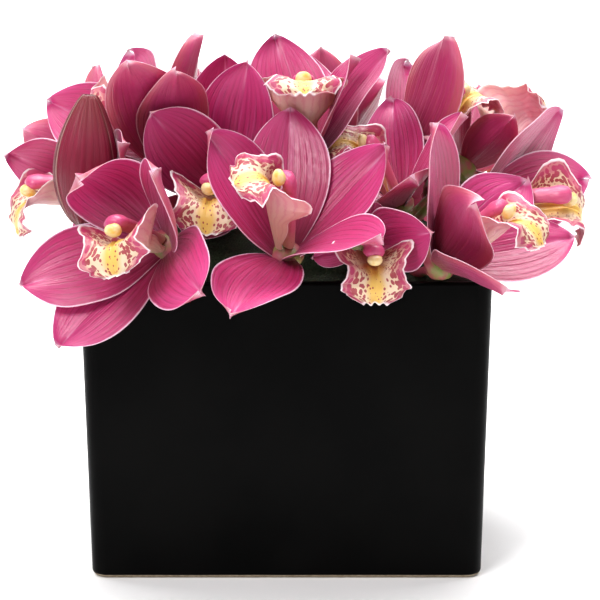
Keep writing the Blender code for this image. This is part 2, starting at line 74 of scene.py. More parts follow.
VASE_HEIGHT = 0.144
VASE_RIM_WIDTH = 0.190
VASE_RIM_DEPTH = 0.130
VASE_FOOT_WIDTH = 0.185
VASE_FOOT_DEPTH = 0.125
VASE_CORNER = 0.008
VASE_LEAST_CORNER = 0.002
VASE_WALL = 0.005
VASE_FLOOR = 0.007
VASE_FOOT_EDGE = 0.003
VASE_RIM_EDGE = 0.0015
VASE_TURNS = 3

FOAM_GAP = 0.0005
FOAM_RISE = 0.024
FOAM_SHOULDER = 2.0
FOAM_LEDGE = 0.009
FOAM_UNDER_RIM = 0.001
FOAM_ANGLES = (18, 38, 58, 74)

GAP = 0.0003
ROOM = 0.0007

TEPAL_LENGTH = 0.066
TEPAL_WIDTH = 0.040
TEPAL_THICKNESS = 0.0012
TEPAL_BASE = 0.28
TEPAL_WIDEST = 0.52
TEPAL_START = 0.003
TEPAL_FOOT = 0.14
GUARD = TEPAL_START + TEPAL_LENGTH * TEPAL_FOOT + ROOM
TEPAL_OVERLAP = 0.45
TEPAL_ROWS = 4
TEPAL_COLUMNS = 3
PETAL_STEP = 0.0012

HEAD_RADIUS = 0.0085
HEAD_HEIGHT = 0.0054
STEM_RADIUS = 0.0021
STEM_IN_FOAM = 0.014
STEM_SIDES = 6
STEM_STEPS = 6
STEM_SWELL = (1.5, 1.4, 1.2)
STEM_AIM = (0.45, 0.3)
STEM_AIM_DEPTH = 0.012
STEM_BACK = 0.012
STEM_BACK_SHARE = 0.35
HALVINGS = 24

LIP_LENGTH = 0.056
LIP_THICKNESS = 0.0011
LIP_ROWS = 6
LIP_COLUMNS = 4
LIP_START = Vector((0, -0.0045, HEAD_HEIGHT + 2 * GAP))
LIP_STEPS = 40

COLUMN_LENGTH = 0.041
COLUMN_RADIUS = 0.0031
COLUMN_SIDES = 8
COLUMN_DROOP = -4
COLUMN_BEND = 16
COLUMN_START = Vector((0, 0.0012, HEAD_HEIGHT + 2 * GAP))

BUD_LENGTH = 0.060
BUD_WIDTH = 0.027
BUD_RINGS = 9
BUD_SIDES = 12
BUD_END = 0.13
BUD_BULGE = 0.05
BUD_LEAN = 0.85
BUD_FULLNESS = 0.8
BUD_FOOT = Vector((-0.0935, -0.050, 0.168))
BUD_TIP = Vector((-0.0895, -0.050, 0.226))


@dataclass(frozen=True)
class Tepal:
    """One sepal or petal; angles are in degrees."""

    name: str
    around: float  # from the dorsal side, clockwise as seen by someone who faces the bloom
    lift: float  # out of the bloom's plane at the base
    curl: float  # further lift gained from base to tip
    cup: float  # how far each edge turns up from the middle
    size: float = 1.0
    petal: bool = False


TEPALS = (
    Tepal("left_petal", -68, 34, -14, 22, 1.0, True),
    Tepal("right_petal", 68, 34, -14, 22, 1.0, True),
    Tepal("dorsal_sepal", 0, 42, -10, 26),
    Tepal("left_sepal", -138, 16, -22, 18),
    Tepal("right_sepal", 138, 16, -22, 18),
)


@dataclass(frozen=True)
class Bloom:
    """Where a bloom sits, in millimetres, and how it faces, in degrees. Azimuth 0 faces -Y."""

    centre: tuple
    azimuth: float
    elevation: float
    roll: float
    size: float
    changes: dict


def turned(around, lift, curl=-12, cup=20, size=1.0):
    """Changes to one tepal of a bloom."""
    return {"around": around, "lift": lift, "curl": curl, "cup": cup, "size": size}


def posed(centre, azimuth, elevation, roll=0, size=1.0, **turns):
    """A bloom, with the around, lift, curl, cup and size that some of its tepals start from."""
    changes = {name: turned(*start) for name, start in turns.items()}
    return Bloom(centre, azimuth, elevation, roll, size, changes)


FRONT_BLOOMS = (
    posed(
        (0, -60, 156), 0, 62, 70,
        dorsal_sepal=(-4, 36, 4, 26),
        left_petal=(-68, 40, -10),
        right_petal=(62, 40, -22),
        left_sepal=(-119, 28, -10),
        right_sepal=(131, 26, -22),
    ),
    posed(
        (-55, -57, 160), -30, 22, -20,
        dorsal_sepal=(-8, 36, 80, 12),
        left_petal=(-88, 36, -12),
        right_petal=(68, 56, 8, 24),
        left_sepal=(-118, 20, -18),
        right_sepal=(137, 46, -18),
    ),
    posed(
        (70, -60, 152), 54, 42, -10,
        dorsal_sepal=(-5, 52),
        left_petal=(-79, 63),
        right_petal=(85, 22),
        left_sepal=(-125, 46),
        right_sepal=(120, 6),
    ),
    posed(
        (-29, -8, 175), -8, 17,
        dorsal_sepal=(-6, 34, -8, 28),
        left_petal=(-42, 24, -10),
        right_petal=(34, 36, -12),
    ),
    posed(
        (8, -18, 190), 0, 75,
        dorsal_sepal=(-2, 36),
        left_petal=(-30, 50),
        right_petal=(60, 60),
        left_sepal=(-148, 50),
        right_sepal=(117, 50),
    ),
    posed((36, -50, 160), 5, 4, 0, 0.9, left_sepal=(-104, 20), right_sepal=(104, 20)),
    posed(
        (90, -9, 170), 78, 8, -40,
        left_sepal=(-160, 64, -12, 20, 0.6),
        dorsal_sepal=(-7, 62),
        left_petal=(-72, 60),
        right_petal=(88, 44),
        right_sepal=(130, 50),
    ),
    posed(
        (54, -16, 171), -54, 60, 46, 0.85,
        dorsal_sepal=(0, 44),
        left_petal=(-84, 30),
        left_sepal=(-126, 32),
    ),
    posed(
        (-54, -15, 186), -150, 62,
        dorsal_sepal=(0, 44),
        left_petal=(-64, 42),
        right_petal=(64, 42),
    ),
    posed(
        (-78, -18, 178), -70, 8,
        dorsal_sepal=(16, 56),
        left_petal=(-66, 36, -12, 20, 0.85),
        right_petal=(58, 50),
    ),
)
TOP_BLOOMS = (
    posed(
        (-64, 14, 192), -60, 30, -80,
        dorsal_sepal=(-8, 46),
        left_petal=(-72, 40),
        right_petal=(30, 44),
    ),
    posed(
        (-32, 24, 180), 120, 60, 10,
        dorsal_sepal=(6, 52),
        left_petal=(-59, 40),
        right_petal=(54, 44),
    ),
    posed(
        (58, 14, 186), 100, 54, -30,
        dorsal_sepal=(0, 26),
        left_petal=(-52, 56),
        right_petal=(74, 50),
    ),
    posed((86, 22, 182), 142, 32, 90, dorsal_sepal=(0, 70), left_sepal=(-140, 26)),
)
BACK_BLOOMS = (
    posed((16, 44, 172), 175, 40),
    posed((-78, 38, 172), -125, 18),
    posed((-30, 56, 164), -168, 12),
    posed((30, 60, 160), 172, 8),
    posed((76, 46, 166), 136, 12),
)
BLOOMS = FRONT_BLOOMS + TOP_BLOOMS + BACK_BLOOMS


# ---------------------------------------------------------------- shapes shared with the CAD


def between(stations, along):
    """Smoothly reads a list of (along, value, value, ...) rows at one place."""
    for low, high in itertools.pairwise(stations):
        if along <= high[0]:
            break
    share = max(0.0, min(1.0, (along - low[0]) / (high[0] - low[0])))
    share = share * share * (3 - 2 * share)
    return [a + (b - a) * share for a, b in zip(low[1:], high[1:])]


def grid_places(rows, columns):
    """Where the points of a grid are: along 0 to 1, across -1 to 1."""
    numbers = itertools.product(range(rows + 1), range(columns + 1))
    return [(row / rows, 2 * column / columns - 1) for row, column in numbers]


def grid_faces(rows, columns, first=0):
    """The faces of a grid whose points are numbered row by row, from first on."""
    stride = columns + 1
    faces = []
    for row, column in itertools.product(range(rows), range(columns)):
        corner = first + row * stride + column
        faces.append((corner, corner + 1, corner + stride + 1, corner + stride))
    return faces


def sheet(rows, columns, place):
    """Points and faces of a grid."""
    return [place(*at) for at in grid_places(rows, columns)], grid_faces(rows, columns)


def round_angles(count):
    """Angles spread evenly round a full turn."""
    return [2 * math.pi * step / count for step in range(count)]


def loft(loops):
    """Points and faces through loops with the same number of points, with its ends capped."""
    count = len(loops[0])
    points = [point for loop in loops for point in loop]
    faces = []
    for ring, i in itertools.product(range(len(loops) - 1), range(count)):
        low, high = ring * count, (ring + 1) * count
        j = (i + 1) % count
        faces.append((low + i, low + j, high + j, high + i))
    faces.append(tuple(reversed(range(count))))
    faces.append(tuple(range(len(points) - count, len(points))))
    return points, faces


def rounded_rectangle(width, depth, corner, height, steps=5):
    """A loop of points round a rectangle with round corners, anticlockwise from the right side."""
    points = []
    for quarter, (side_x, side_y) in enumerate(((1, 1), (-1, 1), (-1, -1), (1, -1))):
        for step in range(steps + 1):
            angle = math.radians(90 * (quarter + step / steps))
            x = side_x * (width / 2 - corner) + corner * math.cos(angle)
            y = side_y * (depth / 2 - corner) + corner * math.sin(angle)
            points.append(Vector((x, y, height)))
    return points


def vase_section(height, inset=0.0, steps=5):
    """The vase's outline at one height, moved in by inset."""
    share = height / VASE_HEIGHT
    width = VASE_FOOT_WIDTH + (VASE_RIM_WIDTH - VASE_FOOT_WIDTH) * share
    depth = VASE_FOOT_DEPTH + (VASE_RIM_DEPTH - VASE_FOOT_DEPTH) * share
    corner = max(VASE_CORNER - inset, VASE_LEAST_CORNER)
    return rounded_rectangle(width - 2 * inset, depth - 2 * inset, corner, height, steps)


def foam_half_sizes():
    """Half the width and depth of the foam's dome at the vase's rim."""
    inset = VASE_WALL + FOAM_GAP + FOAM_LEDGE
    return VASE_RIM_WIDTH / 2 - inset, VASE_RIM_DEPTH / 2 - inset


def foam_level(point):
    """Under 1 inside the foam's dome, 1 on it and over 1 outside it."""
    half_width, half_depth = foam_half_sizes()
    rise = max(point.z - VASE_HEIGHT, 0) / FOAM_RISE
    return (
        abs(point.x / half_width) ** FOAM_SHOULDER
        + abs(point.y / half_depth) ** FOAM_SHOULDER
        + rise**FOAM_SHOULDER
    )


def foam_loops(angles, steps=5):
    """The outlines of the foam, from its flat bottom to near the top of its dome."""
    inset = VASE_WALL + FOAM_GAP
    loops = [vase_section(VASE_FLOOR + FOAM_GAP, inset, steps)]
    loops.append(vase_section(VASE_HEIGHT - FOAM_UNDER_RIM, inset, steps))
    half_width, half_depth = foam_half_sizes()
    for angle in angles:
        turn = math.radians(angle)
        width = half_width * math.cos(turn) ** (2 / FOAM_SHOULDER)
        depth = half_depth * math.cos(turn) ** (2 / FOAM_SHOULDER)
        height = VASE_HEIGHT + FOAM_RISE * math.sin(turn) ** (2 / FOAM_SHOULDER)
        corner = min(width, depth) * (0.3 + 0.6 * angle / 90)
        loops.append(rounded_rectangle(2 * width, 2 * depth, corner, height, steps))
    return loops


def vase_loops(turns, steps=5):
    """The outlines of the vase, up its outside, over its rim and down inside to its floor."""
    loops = []
    foot = [90 * step / turns for step in range(turns + 1)]
    for angle in foot:
        turn = math.radians(angle)
        inset = VASE_FOOT_EDGE * (1 - math.sin(turn))
        loops.append(vase_section(VASE_FOOT_EDGE * (1 - math.cos(turn)), inset, steps))
    for angle in foot:
        turn = math.radians(angle)
        inset = VASE_RIM_EDGE * (1 - math.cos(turn))
        height = VASE_HEIGHT - VASE_RIM_EDGE * (1 - math.sin(turn))
        loops.append(vase_section(height, inset, steps))
    for angle in reversed(foot):
        turn = math.radians(angle)
        inset = VASE_WALL - VASE_RIM_EDGE * (1 - math.cos(turn))
        height = VASE_HEIGHT - VASE_RIM_EDGE * (1 - math.sin(turn))
        loops.append(vase_section(height, inset, steps))
    loops.append(vase_section(VASE_FLOOR, VASE_WALL, steps))
    return loops


def bloom_frame(bloom):
    """The matrix that carries a bloom's own axes into the arrangement."""
    return (
        Matrix.Translation(Vector(bloom.centre) / 1000)
        @ Matrix.Rotation(math.radians(bloom.azimuth), 4, "Z")
        @ Matrix.Rotation(math.radians(90 - bloom.elevation), 4, "X")
        @ Matrix.Rotation(math.radians(-bloom.roll), 4, "Z")
    )


def tepal_outline(along):
    """Half the tepal's width at one place, as a share of its greatest half width."""
    if along < TEPAL_WIDEST:
        swell = math.sin(math.pi / 2 * along / TEPAL_WIDEST)
        return TEPAL_BASE + (1 - TEPAL_BASE) * swell
    past = (along - TEPAL_WIDEST) / (1 - TEPAL_WIDEST)
    return max(1 - past**2.1, 0) ** 0.8 * 0.97 + 0.03


def tepal_point(tepal, size, along, across, out=0.0, wider=0.0):
    """A point of a tepal in its bloom's axes; out is measured from its middle surface."""
    length = (TEPAL_LENGTH * tepal.size + wider) * size
    lift = math.radians(tepal.lift)
    curl = math.radians(tepal.curl if abs(tepal.curl) > 0.5 else 0.5)
    angle = lift + curl * along
    run = length * (math.sin(angle) - math.sin(lift)) / curl
    rise = length * (math.cos(lift) - math.cos(angle)) / curl
    around = math.radians(tepal.around)
    outward = Vector((math.sin(around), math.cos(around), 0))
    side = Vector((math.cos(around), -math.sin(around), 0))
    facing = Vector((0, 0, 1))
    normal = facing * math.cos(angle) - outward * math.sin(angle)
    point = outward * (TEPAL_START + run) + facing * (rise + tepal.petal * PETAL_STEP)
    half = (TEPAL_WIDTH / 2 * tepal_outline(along) * tepal.size + wider) * size
    cup = math.radians(tepal.cup)
    bend = cup * across
    radius = half / cup
    point += side * (radius * math.sin(bend)) + normal * (radius * (1 - math.cos(bend)))
    return point + (normal * math.cos(bend) - side * math.sin(bend)) * out


# along, half width in millimetres, wrap and droop in degrees
LIP_STATIONS = (
    (0.00, 3.6, 62, 10),
    (0.28, 9.5, 84, 9),
    (0.58, 23.0, 92, 0),
    (0.70, 18.0, 64, 30),
    (0.82, 14.0, 30, 84),
    (0.93, 11.0, 14, 112),
    (1.00, 5.0, 8, 120),
)


def lip_spine():
    """Places and droop angles along the middle of the lip."""
    point = LIP_START.copy()
    spine = []
    for step in range(LIP_STEPS + 1):
        droop = math.radians(between(LIP_STATIONS, step / LIP_STEPS)[2])
        spine.append((point.copy(), droop))
        point += Vector((0, -math.sin(droop), math.cos(droop))) * (LIP_LENGTH / LIP_STEPS)
    return spine


LIP_SPINE = lip_spine()


def lip_point(size, along, across, out=0.0, half_mm=None):
    """A point of the lip, a trough that holds the column and then turns down."""
    step = min(int(along * LIP_STEPS), LIP_STEPS - 1)
    share = along * LIP_STEPS - step
    point = LIP_SPINE[step][0].lerp(LIP_SPINE[step + 1][0], share)
    half, wrap, droop = between(LIP_STATIONS, along)
    half = half if half_mm is None else half_mm
    wrap, droop = math.radians(wrap), math.radians(droop)
    normal = Vector((0, math.cos(droop), math.sin(droop)))
    side = Vector((1, 0, 0))
    radius = half / 1000 / wrap
    bend = wrap * across
    point = point + side * (radius * math.sin(bend)) + normal * (radius * (1 - math.cos(bend)))
    return (point + (normal * math.cos(bend) - side * math.sin(bend)) * out) * size


def tube(path, radii, sides):
    """A closed tube along a path, with one radius for each point."""
    loops = []
    side = None
    for index, point in enumerate(path):
        ahead = path[min(index + 1, len(path) - 1)] - path[max(index - 1, 0)]
        if side is None:
            side = ahead.orthogonal().normalized()
        side = (side - ahead * side.dot(ahead) / ahead.length_squared).normalized()
        up = ahead.normalized().cross(side)
        rays = [side * math.cos(angle) + up * math.sin(angle) for angle in round_angles(sides)]
        loops.append([point + ray * radii[index] for ray in rays])
    return loft(loops)


# along, radius as a share of the column's
COLUMN_STATIONS = (
    (0.00, 0.95),
    (0.35, 0.92),
    (0.74, 1.15),
    (0.86, 1.42),
    (0.95, 1.30),
    (1.00, 0.62),
)


def column_path(stations):
    """The column's middle line: straight out, then bent down over the lip."""
    path = []
    point = COLUMN_START.copy()
    last = 0.0
    for along in stations:
        droop = math.radians(COLUMN_DROOP + COLUMN_BEND * along * along)
        step = Vector((0, -math.sin(droop), math.cos(droop)))
        point = point + step * COLUMN_LENGTH * (along - last)
        path.append(point)
        last = along
    return path


def stem_path(start, backward):
    """From a bloom or bud, back along its axis and then straight into the foam."""
    half_width, half_depth = foam_half_sizes()
    aim = Vector((start.x * STEM_AIM[0], start.y * STEM_AIM[1], VASE_HEIGHT - STEM_AIM_DEPTH))
    aim.x = max(-half_width, min(half_width, aim.x))
    aim.y = max(-half_depth, min(half_depth, aim.y))
    outside, inside = start, aim
    for _ in range(HALVINGS):
        middle = (outside + inside) / 2
        if foam_level(middle) > 1:
            outside = middle
        else:
            inside = middle
    surface = inside
    end = surface + (aim - surface).normalized() * STEM_IN_FOAM
    bend = start + backward * min(STEM_BACK_SHARE * (start - surface).length, STEM_BACK)
    path = []
    for step in range(STEM_STEPS + 1):
        share = step / STEM_STEPS
        first, second = start.lerp(bend, share), bend.lerp(end, share)
        path.append(first.lerp(second, share))
    return path


def bud_radius(along):
    """The bud's radius at one place, before its three bulges."""
    swell = max(math.sin(math.pi * along**BUD_LEAN), 0) ** BUD_FULLNESS
    return BUD_WIDTH / 2 * (BUD_END + (1 - BUD_END) * swell)


# ---------------------------------------------------------------- fitting tepals between the blooms


class Obstacle:
    """Something that a tepal has to stay clear of."""

    def __init__(self, points, faces):
        self.low = [min(point[axis] for point in points) for axis in range(3)]
        self.high = [max(point[axis] for point in points) for axis in range(3)]
        self.points = points
        self.tree = BVHTree.FromPolygons(points, faces)

    def touches(self, other):
        for axis in range(3):
            if self.low[axis] > other.high[axis] or other.low[axis] > self.high[axis]:
                return False
        return bool(self.tree.overlap(other.tree))


def placed(shape, place):
    """An obstacle from a shape's points and faces, moved into the arrangement."""
    points, faces = shape
    return Obstacle([place @ point for point in points], faces)


def tepal_obstacle(tepal, size, frame, foot):
    """Both faces of a tepal from its foot on, with room round them."""
    points, faces = [], []
    reach = TEPAL_THICKNESS / 2 + ROOM
    for out in (reach, -reach):
        faces += grid_faces(TEPAL_ROWS, TEPAL_COLUMNS, len(points))
        for along, across in grid_places(TEPAL_ROWS, TEPAL_COLUMNS):
            point = tepal_point(tepal, size, max(along, foot), across, out, ROOM)
            points.append(frame @ point)
    return Obstacle(points, faces)


def guard(frame, size):
    """Room round a bloom's head for the feet of its tepals."""
    reach = GUARD * size
    corners = [
        frame @ Vector((reach * x, reach * y, reach * z))
        for x, y, z in ((1, 0, 0), (-1, 0, 0), (0, 1, 0), (0, -1, 0), (0, 0, 1), (0, 0, -1))
    ]
    faces = [(x, y, z) for x in (0, 1) for y in (2, 3) for z in (4, 5)]
    return Obstacle(corners, faces)


# What each degree of lift, each degree of turn and each share of size lost counts for
LIFT_COST, TURN_COST, SIZE_COST = 0.25, 0.2, 26


def cost(change):
    """How far a change takes a tepal from its start."""
    lift, turn, shrink = change
    return abs(lift) * LIFT_COST + abs(turn) * TURN_COST + (1 - shrink) * SIZE_COST


def tries():
    """Changes to a tepal's lift, direction and size, the smallest first."""
    lifts = range(-48, 49, 6)
    turns = range(-28, 29, 7)
    sizes = (1.0, 0.9, 0.8, 0.7, 0.6, 0.5, 0.4, 0.3)
    return sorted(itertools.product(lifts, turns, sizes), key=cost)


TRIES = tries()


def settle(tepal, bloom, frame, others, siblings):
    """The tepal, turned, lifted or made smaller as little as clears the other blooms and its own."""
    for lift, turn, shrink in TRIES:
        changed = replace(
            tepal,
            around=tepal.around + turn,
            lift=tepal.lift + lift,
            size=tepal.size * shrink,
        )
        outline = tepal_obstacle(changed, bloom.size, frame, TEPAL_FOOT)
        if any(foam_level(point) < 1 for point in outline.points):
            continue
        if any(outline.touches(other) for other in others):
            continue
        blade = tepal_obstacle(changed, bloom.size, frame, TEPAL_OVERLAP)
        if not any(blade.touches(sibling) for sibling in siblings):
            return changed, outline, blade
    return None, None, None


def own_stem_path(frame):
    """The middle line of a bloom's stem, in the bloom's own axes."""
    backward = (frame.to_3x3() @ Vector((0, 0, -1))).normalized()
    back = frame.inverted()
    return [back @ point for point in stem_path(frame.translation, backward)]


def stem_shape(frame):
    """A bloom's stem in its own axes."""
    path = own_stem_path(frame)
    radii = [STEM_RADIUS * swell for swell in STEM_SWELL]
    radii += [STEM_RADIUS] * (len(path) - len(radii))
    return tube(path, radii, STEM_SIDES)


def column_shape(size):
    """A low-sided column."""
    path = [point * size for point in column_path([along for along, _ in COLUMN_STATIONS])]
    radii = [COLUMN_RADIUS * share * size for _, share in COLUMN_STATIONS]
    return tube(path, radii, COLUMN_SIDES)


def bud_frame():
    """The matrix that stands the bud on its foot."""
    axis = (BUD_TIP - BUD_FOOT).normalized()
    return Matrix.Translation(BUD_FOOT) @ axis.to_track_quat("Z", "Y").to_matrix().to_4x4()


def bud_shape():
    """A low-sided bud."""
    loops = []
    for ring in range(BUD_RINGS + 1):
        along = ring / BUD_RINGS
        loop = []
        for angle in round_angles(BUD_SIDES):
            reach = bud_radius(along) * (1 + BUD_BULGE * math.cos(3 * angle))
            loop.append(Vector((reach * math.cos(angle), reach * math.sin(angle), BUD_LENGTH * along)))
        loops.append(loop)
    return loft(loops)


def bud_stem_shape(sides=STEM_SIDES):
    """The bud's stem in the bud's own axes."""
    axis = (BUD_TIP - BUD_FOOT).normalized()
    back = bud_frame().inverted()
    path = [back @ point for point in stem_path(BUD_FOOT + axis * STEM_RADIUS, -axis)]
    return tube(path, [STEM_RADIUS] * len(path), sides)


def settled_blooms():
    """Every bloom with its frame and its tepals as they fit between the others."""
    obstacles = [
        placed(loft(vase_loops(VASE_TURNS)), Matrix.Identity(4)),
        placed(loft(foam_loops(FOAM_ANGLES)), Matrix.Identity(4)),
        placed(bud_shape(), bud_frame()),
        placed(bud_stem_shape(), bud_frame()),
    ]
    frames = [bloom_frame(bloom) for bloom in BLOOMS]
    stems = []
    for bloom, place in zip(BLOOMS, frames):
        stems.append([placed(stem_shape(place), place), guard(place, bloom.size)])
        size = bloom.size
        lip = sheet(LIP_ROWS, LIP_COLUMNS, lambda along, across: lip_point(size, along, across))
        obstacles.append(placed(lip, place))
        obstacles.append(placed(column_shape(size), place))
    found = []
    for index, (bloom, place) in enumerate(zip(BLOOMS, frames)):
        other_stems = [piece for pair in stems[:index] + stems[index + 1 :] for piece in pair]
        wanted = [replace(tepal, **bloom.changes.get(tepal.name, {})) for tepal in TEPALS]
        mine, blades, tepals = [], [], []
        for tepal in wanted:
            fitted, outline, outer = settle(tepal, bloom, place, obstacles + other_stems, blades)
            if fitted is None:
                continue
            tepals.append(fitted)
            mine.append(outline)
            blades.append(outer)
        obstacles += mine
        found.append((bloom, place, tepals))
    return found


# ---------------------------------------------------------------- material nodes


class Graph:
    """Short names for adding and linking shader nodes."""

    def __init__(self, name):
        self.material = bpy.data.materials.new(name)
        self.material.use_nodes = True
        self.tree = self.material.node_tree
        self.shader = self.tree.nodes["Principled BSDF"]
        self.count = 0

    def node(self, kind, **settings):
        made = self.tree.nodes.new(kind)
        made.location = (-220 * (self.count % 12) - 300, -240 * (self.count // 12))
        self.count += 1
        for key, value in settings.items():
            setattr(made, key, value)
        return made

    def put(self, value, socket):
        """Links a socket, or sets a plain value."""
        if isinstance(value, bpy.types.NodeSocket):
            self.tree.links.new(value, socket)
        elif isinstance(value, (tuple, list)) and socket.type == "RGBA":
            socket.default_value = (*value[:3], 1)
        else:
            socket.default_value = value

    def math(self, operation, first, second=0.0, third=0.0):
        made = self.node("ShaderNodeMath", operation=operation)
        for value, socket in zip((first, second, third), made.inputs):
            self.put(value, socket)
        return made.outputs[0]

    def add(self, first, second):
        return self.math("ADD", first, second)

    def times(self, first, second):
        return self.math("MULTIPLY", first, second)

    def minus(self, first, second):
        return self.math("SUBTRACT", first, second)

    def lines(self, phase, sharpness):
        """Thin lines, two for each full turn of the phase."""
        waves = self.math("ABSOLUTE", self.math("SINE", phase))
        return self.math("POWER", waves, sharpness)

    def centred(self, value, amount):
        """A noise that goes from 0 to 1, moved to go below and above zero."""
        return self.times(self.minus(value, 0.5), amount)

    def step(self, value, low, high, start=0.0, end=1.0):
        """A smooth change from start to end while value goes from low to high."""
        made = self.node("ShaderNodeMapRange", interpolation_type="SMOOTHSTEP")
        for item, socket in zip((value, low, high, start, end), made.inputs):
            self.put(item, socket)
        return made.outputs[0]

    def mix(self, share, first, second, blend="MIX"):
        made = self.node("ShaderNodeMix", data_type="RGBA", blend_type=blend)
        self.put(share, made.inputs["Factor"])
        self.put(first, made.inputs[6])
        self.put(second, made.inputs[7])
        return made.outputs[2]

    def vector(self, x, y, z):
        made = self.node("ShaderNodeCombineXYZ")
        for value, socket in zip((x, y, z), made.inputs):
            self.put(value, socket)
        return made.outputs[0]

    def split(self, vector):
        made = self.node("ShaderNodeSeparateXYZ")
        self.put(vector, made.inputs[0])
        return made.outputs

    def noise(self, vector, scale, detail=2.0, rough=0.5):
        made = self.node("ShaderNodeTexNoise")
        self.put(vector, made.inputs["Vector"])
        made.inputs["Scale"].default_value = scale
        made.inputs["Detail"].default_value = detail
        made.inputs["Roughness"].default_value = rough
        return made.outputs[0]

    def cells(self, vector, scale):
        """How far a point is from the nearest of many scattered ones."""
        made = self.node("ShaderNodeTexVoronoi")
        self.put(vector, made.inputs["Vector"])
        made.inputs["Scale"].default_value = scale
        return made.outputs[0]

    def ramp(self, value, stops):
        made = self.node("ShaderNodeValToRGB")
        self.put(value, made.inputs[0])
        ends = made.color_ramp.elements
        while len(ends) < len(stops):
            ends.new(0.5)
        for element, (place, colour) in zip(ends, stops):
            element.position = place
            element.color = (*colour, 1)
        return made.outputs[0]

    def blade(self):
        """Each point's own place along and across its blade, and its seed."""
        made = self.node("ShaderNodeAttribute", attribute_name="blade")
        return self.split(made.outputs["Vector"])

    def front(self):
        """1 in front, 0 behind."""
        made = self.node("ShaderNodeAttribute", attribute_name="front")
        return made.outputs["Fac"]

    def place(self):
        return self.node("ShaderNodeTexCoord").outputs["Object"]

    def bump(self, height, distance, strength=1.0):
        made = self.node("ShaderNodeBump")
        made.inputs["Strength"].default_value = strength
        made.inputs["Distance"].default_value = distance
        self.put(height, made.inputs["Height"])
        self.put(made.outputs[0], self.shader.inputs["Normal"])

    def set(self, **values):
        for name, value in values.items():
            self.put(value, self.shader.inputs[name.replace("_", " ")])

    def soften(self, weight, radius):
        """Light that spreads under the surface, this far in red, green and blue."""
        self.set(Subsurface_Weight=weight, Subsurface_Scale=1.0)
        self.shader.inputs["Subsurface Radius"].default_value = radius


# Colours, as linear red, green and blue
# A painted satin highlight, laid on the tepals in pale streaks.
HIGHLIGHT_STREAK_PINK = (0.60, 0.090, 0.290)
DARK_MAGENTA = (0.27, 0.010, 0.070)
VEIN_CRIMSON = (0.16, 0.003, 0.030)
CREASE_PINK = (0.72, 0.28, 0.46)
MARGIN_PINK = (0.84, 0.60, 0.74)
BACK_VEIN = (0.30, 0.03, 0.05)
BACK_SALMON = (0.52, 0.14, 0.09)
BACK_MARGIN = (0.74, 0.44, 0.48)
LIP_THROAT = (0.62, 0.34, 0.20)
LIP_CREAM = (0.72, 0.54, 0.38)
KEEL_YELLOW = (0.72, 0.42, 0.045)
LIP_MAROON = (0.30, 0.008, 0.035)
LIP_BAND = (0.45, 0.030, 0.13)
LIP_WHITE = (0.90, 0.80, 0.82)
LIP_BACK_FOOT = (0.74, 0.55, 0.38)
LIP_BACK_TIP = (0.66, 0.28, 0.34)
LIP_BACK_LINE = (0.62, 0.16, 0.25)
LIP_BACK_EDGE = (0.90, 0.76, 0.76)
COLUMN_DOT = (0.45, 0.02, 0.09)
CAP_CREAM = (0.80, 0.64, 0.34)
CAP_OCHRE = (0.78, 0.46, 0.09)
STEM_GREEN = (0.16, 0.20, 0.035)
STEM_RED = (0.34, 0.05, 0.08)
BUD_STREAK = (0.30, 0.022, 0.065)
BUD_LINE = (0.17, 0.010, 0.030)
BUD_EDGE = (0.085, 0.012, 0.012)
BUD_RIM = (0.66, 0.42, 0.38)
GLAZE = (0.0010, 0.0010, 0.0010)
GLAZE_CLOUD = (0.0022, 0.0021, 0.0020)
CLAY_DARK = (0.26, 0.20, 0.13)
CLAY_LIGHT = (0.40, 0.33, 0.24)
FOAM_DARK = (0.010, 0.020, 0.008)
FOAM_LIGHT = (0.022, 0.042, 0.015)
# Painted shade in the foam's pores.
FOAM_PORE_SHADE = (0.004, 0.008, 0.003)
PAPER_DARK = (0.90, 0.90, 0.90)
PAPER_LIGHT = (0.93, 0.93, 0.93)
# The same from a foot to a tip, each with its place
# The front's dark foot is painted shade where the tepals crowd round the head; towards the tip it
# lightens to the tepal's magenta.
TEPAL_FRONT_AND_SHADE = (
    (0.02, (0.15, 0.004, 0.030)),
    (0.26, (0.34, 0.010, 0.078)),
    (0.62, (0.49, 0.023, 0.142)),
    (1.00, (0.55, 0.048, 0.200)),
)
TEPAL_BACK = (
    (0.00, (0.22, 0.030, 0.045)),
    (0.45, (0.31, 0.018, 0.085)),
    (0.80, (0.39, 0.030, 0.125)),
    (1.00, (0.44, 0.070, 0.150)),
)
COLUMN_PINK = (
    (0.00, (0.66, 0.42, 0.28)),
    (0.30, (0.62, 0.16, 0.24)),
    (1.00, (0.55, 0.060, 0.180)),
)
BUD_ROSE = (
    (0.00, (0.10, 0.035, 0.014)),
    (0.25, (0.12, 0.006, 0.017)),
    (0.70, (0.19, 0.008, 0.030)),
    (1.00, (0.15, 0.022, 0.022)),
)


